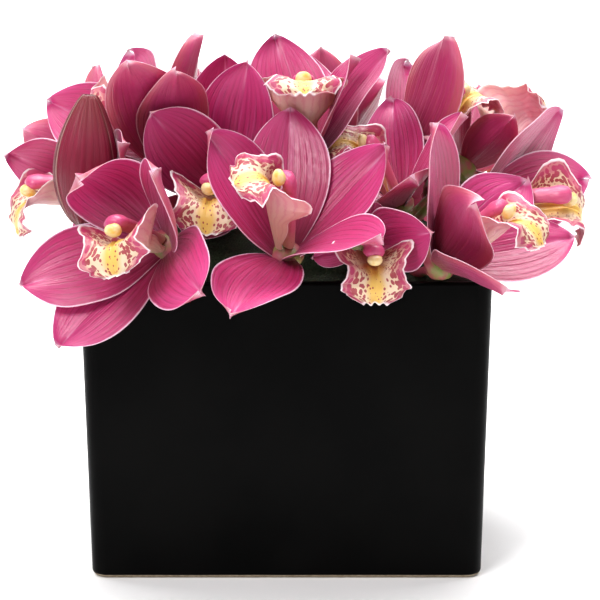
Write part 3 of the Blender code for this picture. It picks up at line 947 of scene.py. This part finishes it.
def tepal_material():
    """Magenta with crimson veins and a pale margin, painted shade at its foot and a painted highlight
    in pale streaks, and duller behind with salmon edges.
    """
    g = Graph("tepal")
    along, across, seed = g.blade()
    front = g.front()
    edge = g.math("ABSOLUTE", across)
    own = g.times(seed, 37.0)
    drift = g.noise(g.vector(g.times(across, 2.2), g.times(along, 1.5), own), 1.0, 2.0)
    streak = g.noise(g.vector(g.times(across, 16.0), g.times(along, 2.2), own), 1.0, 4.0, 0.6)
    mottle = g.noise(g.vector(g.times(across, 7.0), g.times(along, 11.0), own), 1.6, 5.0, 0.6)
    # Veins run along the blade and close up towards its tip.
    phase = g.add(g.times(across, RIB_PHASE), g.times(drift, 3.2))
    vein = g.lines(phase, 9.0)
    fine_phase = g.add(g.times(across, 47.0), g.times(streak, 5.0))
    fine = g.lines(fine_phase, 5.0)
    broken = g.step(mottle, 0.32, 0.66)
    veins = g.times(g.add(g.times(vein, 0.8), g.times(fine, 0.35)), g.add(g.times(broken, 0.6), 0.4))
    veins = g.times(veins, g.step(along, 0.98, 0.6, 0.25, 1.0))

    # Darker towards the foot through the ramp: painted shade where the tepals meet the head.
    depth = g.add(along, g.centred(mottle, 0.35))
    colour = g.ramp(depth, TEPAL_FRONT_AND_SHADE)
    # Pale streaks along the blade: a painted satin highlight.
    pale = g.times(g.step(streak, 0.42, 0.78), 0.55)
    colour = g.mix(pale, colour, HIGHLIGHT_STREAK_PINK)
    colour = g.mix(g.step(seed, 0.0, 1.0, 0.0, 0.45), colour, DARK_MAGENTA)
    colour = g.mix(g.times(veins, 0.58), colour, VEIN_CRIMSON)
    crease = g.times(g.step(edge, 0.09, 0.0), g.step(along, 0.72, 0.95, 0.0, 0.6))
    colour = g.mix(crease, colour, CREASE_PINK)
    ragged = g.add(edge, g.centred(mottle, 0.05))
    margin = g.step(ragged, 0.955, 0.99, 0.0, 0.80)
    near_tip = g.step(along, 0.965, 0.995, 0.0, 0.7)
    margin = g.math("MAXIMUM", margin, near_tip)
    colour = g.mix(margin, colour, MARGIN_PINK)

    behind = g.ramp(g.add(along, g.centred(mottle, 0.3)), TEPAL_BACK)
    behind = g.mix(g.times(veins, 0.55), behind, BACK_VEIN)
    flush = g.times(g.step(edge, 0.55, 0.95), g.step(along, 0.25, 0.60, 0.0, 0.55))
    behind = g.mix(g.times(flush, 0.55), behind, BACK_SALMON)
    behind = g.mix(g.times(margin, 0.7), behind, BACK_MARGIN)
    colour = g.mix(front, behind, colour)
    g.set(Base_Color=colour, Roughness=g.step(mottle, 0.2, 0.8, 0.30, 0.44))
    g.set(Sheen_Weight=0.12, Sheen_Roughness=0.35, Specular_IOR_Level=0.5)
    g.shader.inputs["Sheen Tint"].default_value = (1.0, 0.75, 0.88, 1)
    g.soften(0.12, (0.004, 0.0012, 0.002))
    height = g.minus(g.times(streak, 0.5), g.times(veins, 0.5))
    g.bump(height, 0.0006, 0.55)
    return g.material


def lip_material():
    """Cream with maroon spots and dashes, a magenta margin with a white edge, and yellow keels."""
    g = Graph("lip")
    along, across, seed = g.blade()
    front = g.front()
    edge = g.math("ABSOLUTE", across)
    own = g.times(seed, 29.0)
    mottle = g.noise(g.vector(g.times(across, 6.0), g.times(along, 12.0), own), 1.5, 4.0, 0.6)
    warp = g.centred(mottle, 0.10)
    # Dashes point outwards from the middle, so the cells are long across and short along.
    spots = g.cells(g.vector(g.add(g.times(across, 12.0), warp), g.times(along, 34.0), own), 1.0)
    middle = g.cells(g.vector(g.times(across, 7.5), g.times(along, 22.0), own), 1.15)

    mid_lobe = g.step(along, 0.66, 0.76)
    cream = g.mix(g.step(along, 0.2, 0.6), LIP_THROAT, LIP_CREAM)
    yellow = g.times(g.step(edge, 0.42, 0.12), g.step(along, 0.30, 0.55))
    colour = g.mix(g.times(yellow, 0.85), cream, KEEL_YELLOW)
    reach = g.add(edge, g.times(mid_lobe, 0.16))
    spread = g.step(reach, 0.18, 0.85, 0.24, 0.60)
    dotted = g.step(g.minus(spots, spread), 0.03, -0.03)
    blotted = g.step(g.minus(middle, g.times(spread, 0.9)), 0.03, -0.03)
    marks = g.mix(mid_lobe, dotted, blotted)
    marks = g.times(marks, g.step(along, 0.22, 0.42))
    marks = g.times(marks, g.step(g.add(edge, g.step(along, 0.55, 0.95, 0.0, 0.25)), 0.10, 0.24))
    colour = g.mix(g.times(marks, 0.92), colour, LIP_MAROON)
    band = g.step(g.add(edge, g.centred(mottle, 0.22)), 0.70, 0.88, 0.0, 0.75)
    band = g.times(band, g.step(along, 0.30, 0.48))
    colour = g.mix(band, colour, LIP_BAND)
    white = g.step(edge, 0.955, 0.985)
    tip = g.step(along, 0.975, 0.995)
    white = g.math("MAXIMUM", white, tip)
    colour = g.mix(g.times(white, 0.85), colour, LIP_WHITE)

    outside = g.mix(g.step(along, 0.15, 0.85), LIP_BACK_FOOT, LIP_BACK_TIP)
    lines = g.lines(g.add(g.times(across, 17.0), g.times(mottle, 3.0)), 6.0)
    outside = g.mix(g.times(lines, g.step(along, 0.1, 0.7, 0.10, 0.45)), outside, LIP_BACK_LINE)
    outside = g.mix(g.times(white, 0.7), outside, LIP_BACK_EDGE)
    g.set(Base_Color=g.mix(front, outside, colour), Roughness=g.step(mottle, 0.2, 0.8, 0.34, 0.5))
    g.set(Specular_IOR_Level=0.45)
    g.soften(0.15, (0.003, 0.0016, 0.0012))
    g.bump(g.add(mottle, g.times(lines, 0.3)), 0.0005, 0.5)
    return g.material


def column_material():
    """Pink, paler at its foot, with darker dots."""
    g = Graph("column")
    along, around, seed = g.blade()
    blotch = g.noise(g.vector(g.times(around, 3.0), g.times(along, 5.0), seed), 2.0, 4.0)
    base = g.ramp(g.add(along, g.centred(blotch, 0.3)), COLUMN_PINK)
    dots = g.cells(g.vector(g.times(around, 6.0), g.times(along, 10.0), seed), 2.0)
    base = g.mix(g.step(dots, 0.2, 0.1, 0.0, 0.6), base, COLUMN_DOT)
    g.set(Base_Color=base, Roughness=g.step(blotch, 0.2, 0.8, 0.3, 0.45))
    g.soften(0.15, (0.003, 0.0012, 0.0012))
    g.bump(blotch, 0.0004, 0.5)
    return g.material


def cap_material():
    """The cream-yellow anther cap."""
    g = Graph("anther_cap")
    place = g.place()
    grain = g.noise(place, 900.0, 4.0)
    patch = g.noise(place, 260.0, 2.0)
    base = g.mix(g.step(patch, 0.35, 0.7), CAP_CREAM, CAP_OCHRE)
    g.set(Base_Color=base, Roughness=g.step(grain, 0.2, 0.8, 0.3, 0.5))
    g.soften(0.15, (0.003, 0.002, 0.001))
    g.bump(grain, 0.0002, 0.4)
    return g.material


def stem_material():
    """Green, flushed with the bloom's red."""
    g = Graph("stem")
    place = g.place()
    stretched = g.noise(place, 120.0, 3.0)
    fine = g.noise(place, 700.0, 4.0)
    base = g.mix(g.step(stretched, 0.35, 0.65), STEM_GREEN, STEM_RED)
    g.set(Base_Color=base, Roughness=g.step(fine, 0.2, 0.8, 0.4, 0.6))
    g.bump(fine, 0.0003, 0.5)
    return g.material


def bud_material():
    """Dusty dark rose with paler ridges and maroon edges."""
    g = Graph("bud")
    along, across, seed = g.blade()
    edge = g.math("ABSOLUTE", across)
    stretched = g.vector(g.times(across, 15.0), g.times(along, 2.0), g.times(seed, 31.0))
    streak = g.noise(stretched, 1.0, 5.0, 0.6)
    patch = g.noise(g.vector(g.times(across, 2.0), g.times(along, 3.0), g.times(seed, 17.0)), 1.4, 3.0)
    phase = g.add(g.times(across, 16.0), g.times(streak, 3.0))
    line = g.lines(phase, 7.0)
    base = g.ramp(g.add(g.times(along, 0.8), g.times(patch, 0.3)), BUD_ROSE)
    base = g.mix(g.step(streak, 0.45, 0.8, 0.0, 0.45), base, BUD_STREAK)
    base = g.mix(g.times(line, 0.5), base, BUD_LINE)
    base = g.mix(g.step(edge, 0.78, 0.97, 0.0, 0.85), base, BUD_EDGE)
    base = g.mix(g.step(edge, 0.975, 0.995, 0.0, 0.6), base, BUD_RIM)
    g.set(Base_Color=base, Roughness=g.step(patch, 0.2, 0.8, 0.36, 0.50))
    g.set(Specular_IOR_Level=0.3)
    g.soften(0.05, (0.003, 0.001, 0.001))
    g.bump(g.minus(streak, g.times(line, 0.6)), 0.0006, 0.6)
    return g.material


def vase_material():
    """Black satin glaze, with bare clay where the foot stands."""
    g = Graph("vase_glaze")
    place = g.place()
    height = g.split(place)[2]
    cloud = g.noise(place, 26.0, 4.0, 0.6)
    orange_peel = g.noise(place, 300.0, 3.0)
    pits = g.cells(place, 420.0)
    glaze = g.mix(g.step(cloud, 0.3, 0.7), GLAZE, GLAZE_CLOUD)
    clay = g.mix(g.step(g.noise(place, 500.0, 4.0), 0.3, 0.7), CLAY_DARK, CLAY_LIGHT)
    bare = g.step(g.add(height, g.centred(cloud, 0.0006)), 0.0019, 0.0015)
    g.set(Base_Color=g.mix(bare, glaze, clay))
    rough = g.add(g.step(cloud, 0.25, 0.75, 0.26, 0.36), g.times(orange_peel, 0.06))
    g.set(Roughness=g.add(rough, g.times(bare, 0.5)), Specular_IOR_Level=0.03)
    relief = g.add(g.times(orange_peel, 0.5), g.step(pits, 0.08, 0.0, 0.0, -0.6))
    g.bump(g.add(relief, g.times(bare, -0.6)), 0.00025, 0.35)
    return g.material


def foam_material():
    """Wet green floral foam, with painted shade in its pores."""
    g = Graph("wet_foam")
    place = g.place()
    pores = g.cells(place, 900.0)
    patch = g.noise(place, 90.0, 4.0)
    base = g.mix(g.step(patch, 0.3, 0.7), FOAM_DARK, FOAM_LIGHT)
    # Darkens the pores: painted shade in their hollows.
    base = g.mix(g.step(pores, 0.5, 0.1, 0.0, 0.7), base, FOAM_PORE_SHADE)
    g.set(Base_Color=base, Roughness=g.step(patch, 0.2, 0.8, 0.75, 0.95))
    g.bump(g.add(pores, patch), 0.0008, 0.7)
    return g.material


# ---------------------------------------------------------------- fine meshes


def show(name, data, place=None):
    """Links a mesh, a light or a camera into the scene."""
    obj = bpy.data.objects.new(name, data)
    bpy.context.scene.collection.objects.link(obj)
    if place is not None:
        obj.matrix_world = place
    return obj


def smooth_mesh(name, points, faces, look):
    """A smoothly shaded mesh with one material."""
    mesh = bpy.data.meshes.new(name)
    mesh.from_pydata([tuple(point) for point in points], [], faces)
    mesh.materials.append(look)
    mesh.shade_smooth()
    return mesh


def add_piece(name, points, faces, look, place, values=None, front=None, smooth=50):
    """A mesh object that rides on the arrangement's one body."""
    mesh = smooth_mesh(name, points, faces, look)
    if values is not None:
        layer = mesh.attributes.new("blade", "FLOAT_VECTOR", "POINT")
        layer.data.foreach_set("vector", [part for value in values for part in value])
    if front is not None:
        layer = mesh.attributes.new("front", "FLOAT", "POINT")
        layer.data.foreach_set("value", front)
    mesh.set_sharp_from_angle(angle=math.radians(smooth))
    mesh.update()
    obj = show(name, mesh, place)
    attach(obj, "root")
    return obj


def two_faced(rows, columns, place, seed):
    """A thin closed sheet: its front grid, its back grid and the rim between them.

    place(along, across, side) gives a point, with side 1 in front and -1 behind."""
    points, values, front = [], [], []
    for side in (1, -1):
        for along, across in grid_places(rows, columns):
            points.append(place(along, across, side))
            values.append((along, across, seed))
            front.append((side + 1) / 2)
    count = len(points) // 2
    faces = []
    for a, b, c, d in grid_faces(rows, columns):
        faces += [(a, b, c, d), (a + count, d + count, c + count, b + count)]
    stride = columns + 1
    rim = list(range(stride))
    rim += [row * stride + columns for row in range(1, rows + 1)]
    rim += [rows * stride + column for column in reversed(range(columns))]
    rim += [row * stride for row in reversed(range(1, rows))]
    for a, b in zip(rim, rim[1:] + rim[:1]):
        faces.append((b, a, a + count, b + count))
    return points, faces, values, front


def bell(value, middle, width, sharpness=2):
    """1 at the middle, falling smoothly to nothing about two widths away."""
    return math.exp(-(((value - middle) / width) ** sharpness))


def seed_share(seed):
    """A number from 0 to 1 for the materials, well spread over whole seeds."""
    return (seed * 0.618) % 1


FINE_ROWS = 34
FINE_COLUMNS = 18
EDGE_THINNING = 0.70
TIP_THINNING = 0.55
GROOVE_DEPTH = 0.0010
GROOVE_WIDTH = 0.11
RIB_HEIGHT = 0.00012
RIB_PHASE = 20.5
EDGE_WAVE = 0.0016
SOFT_WAVE = 0.0032
TIP_PINCH = 0.0034
PINCH_START = 0.78


def make_tepal(name, tepal, size, place, look, seed):
    """One sepal or petal, with a groove down its middle, wavy edges and a pinched tip."""
    rng = random.Random(seed)
    waves = rng.uniform(1.0, 1.8)
    phase = rng.uniform(0, 2 * math.pi)
    skew = rng.uniform(-1, 1)
    offset = Vector((seed * 1.7, seed * 0.9, 0))

    def point(along, across, side):
        edge = abs(across)
        body = math.sin(math.pi * min(along * 1.05, 1.0))
        thin = (1 - EDGE_THINNING * edge**3) * (1 - TIP_THINNING * along**3)
        half = TEPAL_THICKNESS / 2 * thin
        groove = -GROOVE_DEPTH * bell(across, 0, GROOVE_WIDTH) * (0.35 + 0.65 * along)
        ribs = RIB_HEIGHT * math.cos(across * RIB_PHASE) * body
        turn = 2 * math.pi * waves * along + phase + 1.3 * math.copysign(1, across) * skew
        wave = EDGE_WAVE * edge**2.2 * math.sin(turn) * along
        soft = SOFT_WAVE * noise.noise(Vector((across * 0.9, along * 1.8, 0)) + offset) * along
        tip = max(along - PINCH_START, 0) / (1 - PINCH_START)
        pinch = TIP_PINCH * tip * tip * edge**1.5
        out = side * half + groove + ribs + wave + soft + pinch
        return tepal_point(tepal, size, along, across, out * size)

    points, faces, values, front = two_faced(FINE_ROWS, FINE_COLUMNS, point, seed_share(seed))
    return add_piece(name, points, faces, look, place, values, front)


# along, half width in millimetres of the three-lobed outline
LIP_LOBES = (
    (0.00, 3.6),
    (0.28, 9.5),
    (0.50, 21.0),
    (0.61, 22.5),
    (0.69, 15.5),
    (0.74, 13.0),
    (0.85, 16.5),
    (0.94, 13.0),
    (1.00, 6.0),
)
LIP_FINE_ROWS = 52
LIP_FINE_COLUMNS = 36
FLARE_HEIGHT = 0.0050
CURL_HEIGHT = 0.0045
RUFFLES = 6.5
RUFFLE_HEIGHT = 0.0017
SMALL_RUFFLE = 0.0008
FRINGE_HEIGHT = 0.0012
KEEL_HEIGHT = 0.0015
KEEL_ACROSS = 0.13
LIP_SOFT_WAVE = 0.0010


def make_lip(name, size, place, look, seed):
    """The lip: two side lobes that flare at their edges, and a ruffled middle lobe with two keels."""
    rng = random.Random(seed)
    phase = rng.uniform(0, 2 * math.pi)
    offset = Vector((seed * 2.3, 5.1, 0))

    def point(along, across, side):
        edge = abs(across)
        half = LIP_THICKNESS / 2 * (1 - EDGE_THINNING * edge**3)
        lobes = between(LIP_LOBES, along)[0]
        flare = FLARE_HEIGHT * max(edge - 0.60, 0) ** 2 / 0.16 * bell(along, 0.60, 0.15)
        curl = CURL_HEIGHT * max(edge - 0.45, 0) ** 2 / 0.30 * bell(along, 0.88, 0.10)
        reach = max(edge - 0.35, 0) / 0.65 * max(along - 0.34, 0) / 0.66
        turn = 2 * math.pi * RUFFLES * along + phase + math.copysign(0.8, across)
        ruffle = RUFFLE_HEIGHT * reach * math.sin(turn)
        ruffle += SMALL_RUFFLE * reach * math.sin(2.3 * turn + 1)
        fringe = FRINGE_HEIGHT * max(along - 0.90, 0) / 0.10 * math.sin(across * 9 + phase)
        keel = KEEL_HEIGHT * bell(edge, KEEL_ACROSS, 0.055) * bell(along, 0.56, 0.20, 4)
        keel *= (side + 1) / 2
        soft = noise.noise(Vector((across * 2, along * 5, 0)) + offset)
        out = side * half - flare - curl + ruffle + fringe + keel
        return lip_point(size, along, across, out + LIP_SOFT_WAVE * soft * edge, lobes)

    points, faces, values, front = two_faced(LIP_FINE_ROWS, LIP_FINE_COLUMNS, point, seed_share(seed))
    return add_piece(name, points, faces, look, place, values, front)


def make_column(name, size, place, look, seed):
    """The column, wider than thick, hollowed underneath near its tip."""
    rows, sides = 26, 24
    path = [point * size for point in column_path([row / rows for row in range(rows + 1)])]
    side = Vector((1, 0, 0))
    loops, values = [], []
    for row, centre in enumerate(path):
        along = row / rows
        ahead = (path[min(row + 1, rows)] - path[max(row - 1, 0)]).normalized()
        up = ahead.cross(side)
        radius = COLUMN_RADIUS * between(COLUMN_STATIONS, along)[0] * size
        loop = []
        for angle in round_angles(sides):
            hollow = 1 - 0.45 * max(-math.sin(angle), 0) ** 2 * bell(along, 0.80, 0.12)
            wing = 1 + 0.16 * abs(math.cos(angle)) ** 6
            reach = side * (math.cos(angle) * wing * 1.08) + up * (math.sin(angle) * 0.92 * hollow)
            loop.append(centre + reach * radius)
            values.append((along, math.cos(angle), seed % 7))
        loops.append(loop)
    points, faces = loft(loops)
    return add_piece(name, points, faces, look, place, values)


CAP_RADIUS = 0.0038
CAP_LENGTH = 0.0036
CAP_OVERLAP = 0.0012
CAP_LIFT = 0.0006


def make_cap(name, size, place, look):
    """The anther cap: a two-lobed hood over the column's tip."""
    before, tip = column_path((0.0, 0.80, 0.90, 1.0))[2:]
    ahead = (tip - before).normalized()
    centre = tip - ahead * CAP_OVERLAP
    side = Vector((1, 0, 0))
    up = ahead.cross(side)
    rows, sides = 12, 24
    loops = []
    for row in range(rows + 1):
        angle = math.pi * (0.04 + 0.92 * row / rows)
        loop = []
        for turn in round_angles(sides):
            lobe = 1 - 0.16 * max(math.sin(turn), 0) ** 8
            radius = CAP_RADIUS * math.sin(angle) ** 0.8 * lobe
            under = CAP_OVERLAP * max(-math.sin(turn), 0) * math.sin(angle)
            forward = ahead * (-CAP_LENGTH * math.cos(angle) - under)
            upward = up * (radius * math.sin(turn) * 0.86 + CAP_LIFT)
            point = centre + side * (radius * math.cos(turn)) + upward + forward
            loop.append(point * size)
        loops.append(loop)
    points, faces = loft(loops)
    return add_piece(name, points, faces, look, place)


def make_stem(name, size, place, look):
    """The stem with the head where the tepals join."""
    path = own_stem_path(place)
    smooth = []
    for index, share in itertools.product(range(len(path) - 1), (0, 0.5)):
        smooth.append(path[index].lerp(path[index + 1], share))
    smooth.append(path[-1])
    radii = [STEM_RADIUS * (1 + 0.5 * math.exp(-index / 2)) for index in range(len(smooth))]
    shares = (0.98, 0.8, 0.45, 0.0, -0.45, -0.75)
    head = [Vector((0, 0, HEAD_HEIGHT * share * size)) for share in shares]
    head_radii = [HEAD_RADIUS * size * math.sqrt(max(1 - share * share, 0.02)) for share in shares]
    points, faces = tube(head + smooth[2:], head_radii + radii[2:], 18)
    return add_piece(name, points, faces, look, place)


def make_bloom(number, bloom, place, tepals, looks):
    """All the pieces of one bloom, made in place of its CAD solids, which are hidden."""
    name = f"bloom_{number:02d}"
    pieces = []
    for index, tepal in enumerate(tepals):
        seed = number * 11 + index * 3
        piece = make_tepal(f"{name}_{tepal.name}", tepal, bloom.size, place, looks["tepal"], seed)
        pieces.append(piece)
    pieces.append(make_stem(f"{name}_stem", bloom.size, place, looks["stem"]))
    for piece in pieces:
        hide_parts(f"{name}_tepals")
    lip = make_lip(f"{name}_lip_blade", bloom.size, place, looks["lip"], number)
    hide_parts(f"{name}_lip")
    column = make_column(f"{name}_column_body", bloom.size, place, looks["column"], number)
    cap = make_cap(f"{name}_anther_cap", bloom.size, place, looks["cap"])
    for piece in (column, cap):
        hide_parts(f"{name}_column")


BUD_HALF_TURN = 76
BUD_LAP = 0.0008
BUD_RIDGE = 0.0005
BUD_FOLD = 0.00015
BUD_HALF_THICKNESS = 0.0004
BUD_FINE_SIDES = 24


def make_bud(looks):
    """A closed bud: three sepals that overlap, wrapped round the petals inside."""
    place = bud_frame()
    half_turn = math.radians(BUD_HALF_TURN)
    for index in range(3):
        middle = math.radians(120 * index - 70)

        def point(along, across, side):
            angle = middle + half_turn * across * (1 - 0.12 * along)
            lap = BUD_HALF_THICKNESS * across + BUD_LAP
            ridge = BUD_RIDGE * bell(across, 0, 0.12)
            folds = BUD_FOLD * math.cos(across * 16)
            radius = bud_radius(along) * (1 + BUD_BULGE * math.cos(3 * angle) * 0.4)
            radius += lap + ridge + folds + side * BUD_HALF_THICKNESS
            height = BUD_LENGTH * along * 1.004
            return Vector((radius * math.cos(angle), radius * math.sin(angle), height))

        points, faces, values, front = two_faced(40, 20, point, 0.2 + 0.3 * index)
        obj = add_piece(f"bud_sepal_{index + 1}", points, faces, looks["bud"], place, values, front)
        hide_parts("bud")
    loops = []
    for ring in range(BUD_FINE_SIDES + 1):
        along = ring / BUD_FINE_SIDES
        radius = bud_radius(along) * 0.97
        loop = []
        for turn in round_angles(BUD_FINE_SIDES):
            loop.append(Vector((radius * math.cos(turn), radius * math.sin(turn), BUD_LENGTH * along)))
        loops.append(loop)
    points, faces = loft(loops)
    values = [(point.z / BUD_LENGTH, 0.9, 0.5) for point in points]
    core = add_piece("bud_petals", points, faces, looks["bud"], place, values)
    points, faces = bud_stem_shape(16)
    stem = add_piece("bud_stem", points, faces, looks["stem"], place)
    for obj in (core, stem):
        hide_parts("bud")


def make_vase(looks):
    """The vase, rounder than its CAD solid."""
    points, faces = loft(vase_loops(8, 14))
    vase = add_piece("vase_body", points, faces, looks["vase"], Matrix.Identity(4), smooth=35)
    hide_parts("vase")


FOAM_FINE_ANGLES = (6, 14, 22, 30, 38, 46, 54, 62, 70, 76)
FOAM_ROUGHNESS = 0.0012


def make_foam(looks):
    """The foam, with a rough dome."""
    points, faces = loft(foam_loops(FOAM_FINE_ANGLES, 8))
    mesh = smooth_mesh("floral_foam_block", points, faces, looks["foam"])
    bm = bmesh.new()
    bm.from_mesh(mesh)
    bmesh.ops.triangulate(bm, faces=[face for face in bm.faces if len(face.verts) > 4])
    bmesh.ops.subdivide_edges(bm, edges=bm.edges, cuts=2, use_grid_fill=True)
    for vertex in bm.verts:
        if vertex.co.z > VASE_HEIGHT:
            rough = noise.noise(vertex.co * 320) * 0.5 + noise.noise(vertex.co * 90)
            vertex.co += vertex.co.normalized() * (FOAM_ROUGHNESS * (rough - 1))
    bm.to_mesh(mesh)
    bm.free()
    mesh.shade_smooth()
    obj = show("floral_foam_block", mesh)
    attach(obj, "root")
    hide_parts("floral_foam")


# ---------------------------------------------------------------- floor, lights and camera


CAMERA_AIM = Vector((0.0064, -0.065, 0.136))
CAMERA_DISTANCE = 0.95
CAMERA_PITCH = 13
CAMERA_LENS = 124.6

FLOOR_HALF_WIDTH = 2.6
FLOOR_FRONT = -2.2
FLOOR_BACK = 1.1
FLOOR_CURVE = 0.5
FLOOR_STEPS = 12
BACKDROP_TOP = 2.4
WORLD_STRENGTH = 0.32

# name, place, aim, width and height in metres, watts
LIGHTS = (
    ("key", (-0.8, -1.2, 1.5), (0, 0, 0.17), (0.7, 0.7), 27),
    ("fill", (1.2, -1.2, 0.8), (0, 0, 0.15), (1.0, 1.0), 4),
    ("top", (0.1, 0.2, 1.7), (0, 0, 0.15), (1.0, 1.0), 16),
    ("backdrop", (0, 0.4, 1.9), (0, 1.5, 0.6), (2.4, 0.6), 75),
)


def make_stage():
    """A pale floor that curves up into a backdrop."""
    profile = [(FLOOR_FRONT, 0.0), (FLOOR_BACK, 0.0)]
    for step in range(1, FLOOR_STEPS + 1):
        angle = math.radians(90 * step / FLOOR_STEPS)
        y = FLOOR_BACK + FLOOR_CURVE * math.sin(angle)
        profile.append((y, FLOOR_CURVE * (1 - math.cos(angle))))
    profile.append((FLOOR_BACK + FLOOR_CURVE, BACKDROP_TOP))
    points = [(x, y, z) for y, z in profile for x in (-FLOOR_HALF_WIDTH, FLOOR_HALF_WIDTH)]
    faces = [(2 * i, 2 * i + 1, 2 * i + 3, 2 * i + 2) for i in range(len(profile) - 1)]
    g = Graph("studio_paper")
    grain = g.noise(g.place(), 40.0, 3.0)
    g.set(Base_Color=g.mix(grain, PAPER_DARK, PAPER_LIGHT), Roughness=0.9)
    floor = show("studio_floor", smooth_mesh("studio_floor", points, faces, g.material))


def make_lights():
    """A dim white world and four soft lights."""
    world = bpy.data.worlds.new("studio")
    world.use_nodes = True
    background = world.node_tree.nodes["Background"]
    background.inputs["Color"].default_value = (1.0, 1.0, 1.0, 1)
    background.inputs["Strength"].default_value = WORLD_STRENGTH
    bpy.context.scene.world = world
    for name, place, aim, size, watts in LIGHTS:
        light = bpy.data.lights.new(name, "AREA")
        light.shape = "RECTANGLE"
        light.size, light.size_y = size
        light.energy = watts
        obj = show(name, light)
        obj.location = place
        obj.rotation_euler = (Vector(aim) - Vector(place)).to_track_quat("-Z", "Y").to_euler()


def make_camera():
    """The photograph's own view."""
    pitch = math.radians(CAMERA_PITCH)
    forward = Vector((0, math.cos(pitch), -math.sin(pitch)))
    camera = bpy.data.cameras.new("camera")
    camera.lens = CAMERA_LENS
    camera.sensor_width = 36
    obj = show("camera", camera)
    obj.location = CAMERA_AIM - forward * CAMERA_DISTANCE
    obj.rotation_euler = forward.to_track_quat("-Z", "Y").to_euler()
    bpy.context.scene.camera = obj
    bpy.context.scene.view_settings.view_transform = "Standard"


def main():
    looks = {
        "tepal": tepal_material(),
        "lip": lip_material(),
        "column": column_material(),
        "cap": cap_material(),
        "stem": stem_material(),
        "bud": bud_material(),
        "vase": vase_material(),
        "foam": foam_material(),
    }
    make_stage()
    make_lights()
    make_camera()
    make_vase(looks)
    make_foam(looks)
    make_bud(looks)
    for number, (bloom, place, tepals) in enumerate(settled_blooms(), 1):
        make_bloom(number, bloom, place, tepals, looks)
    bpy.context.view_layer.update()


main()
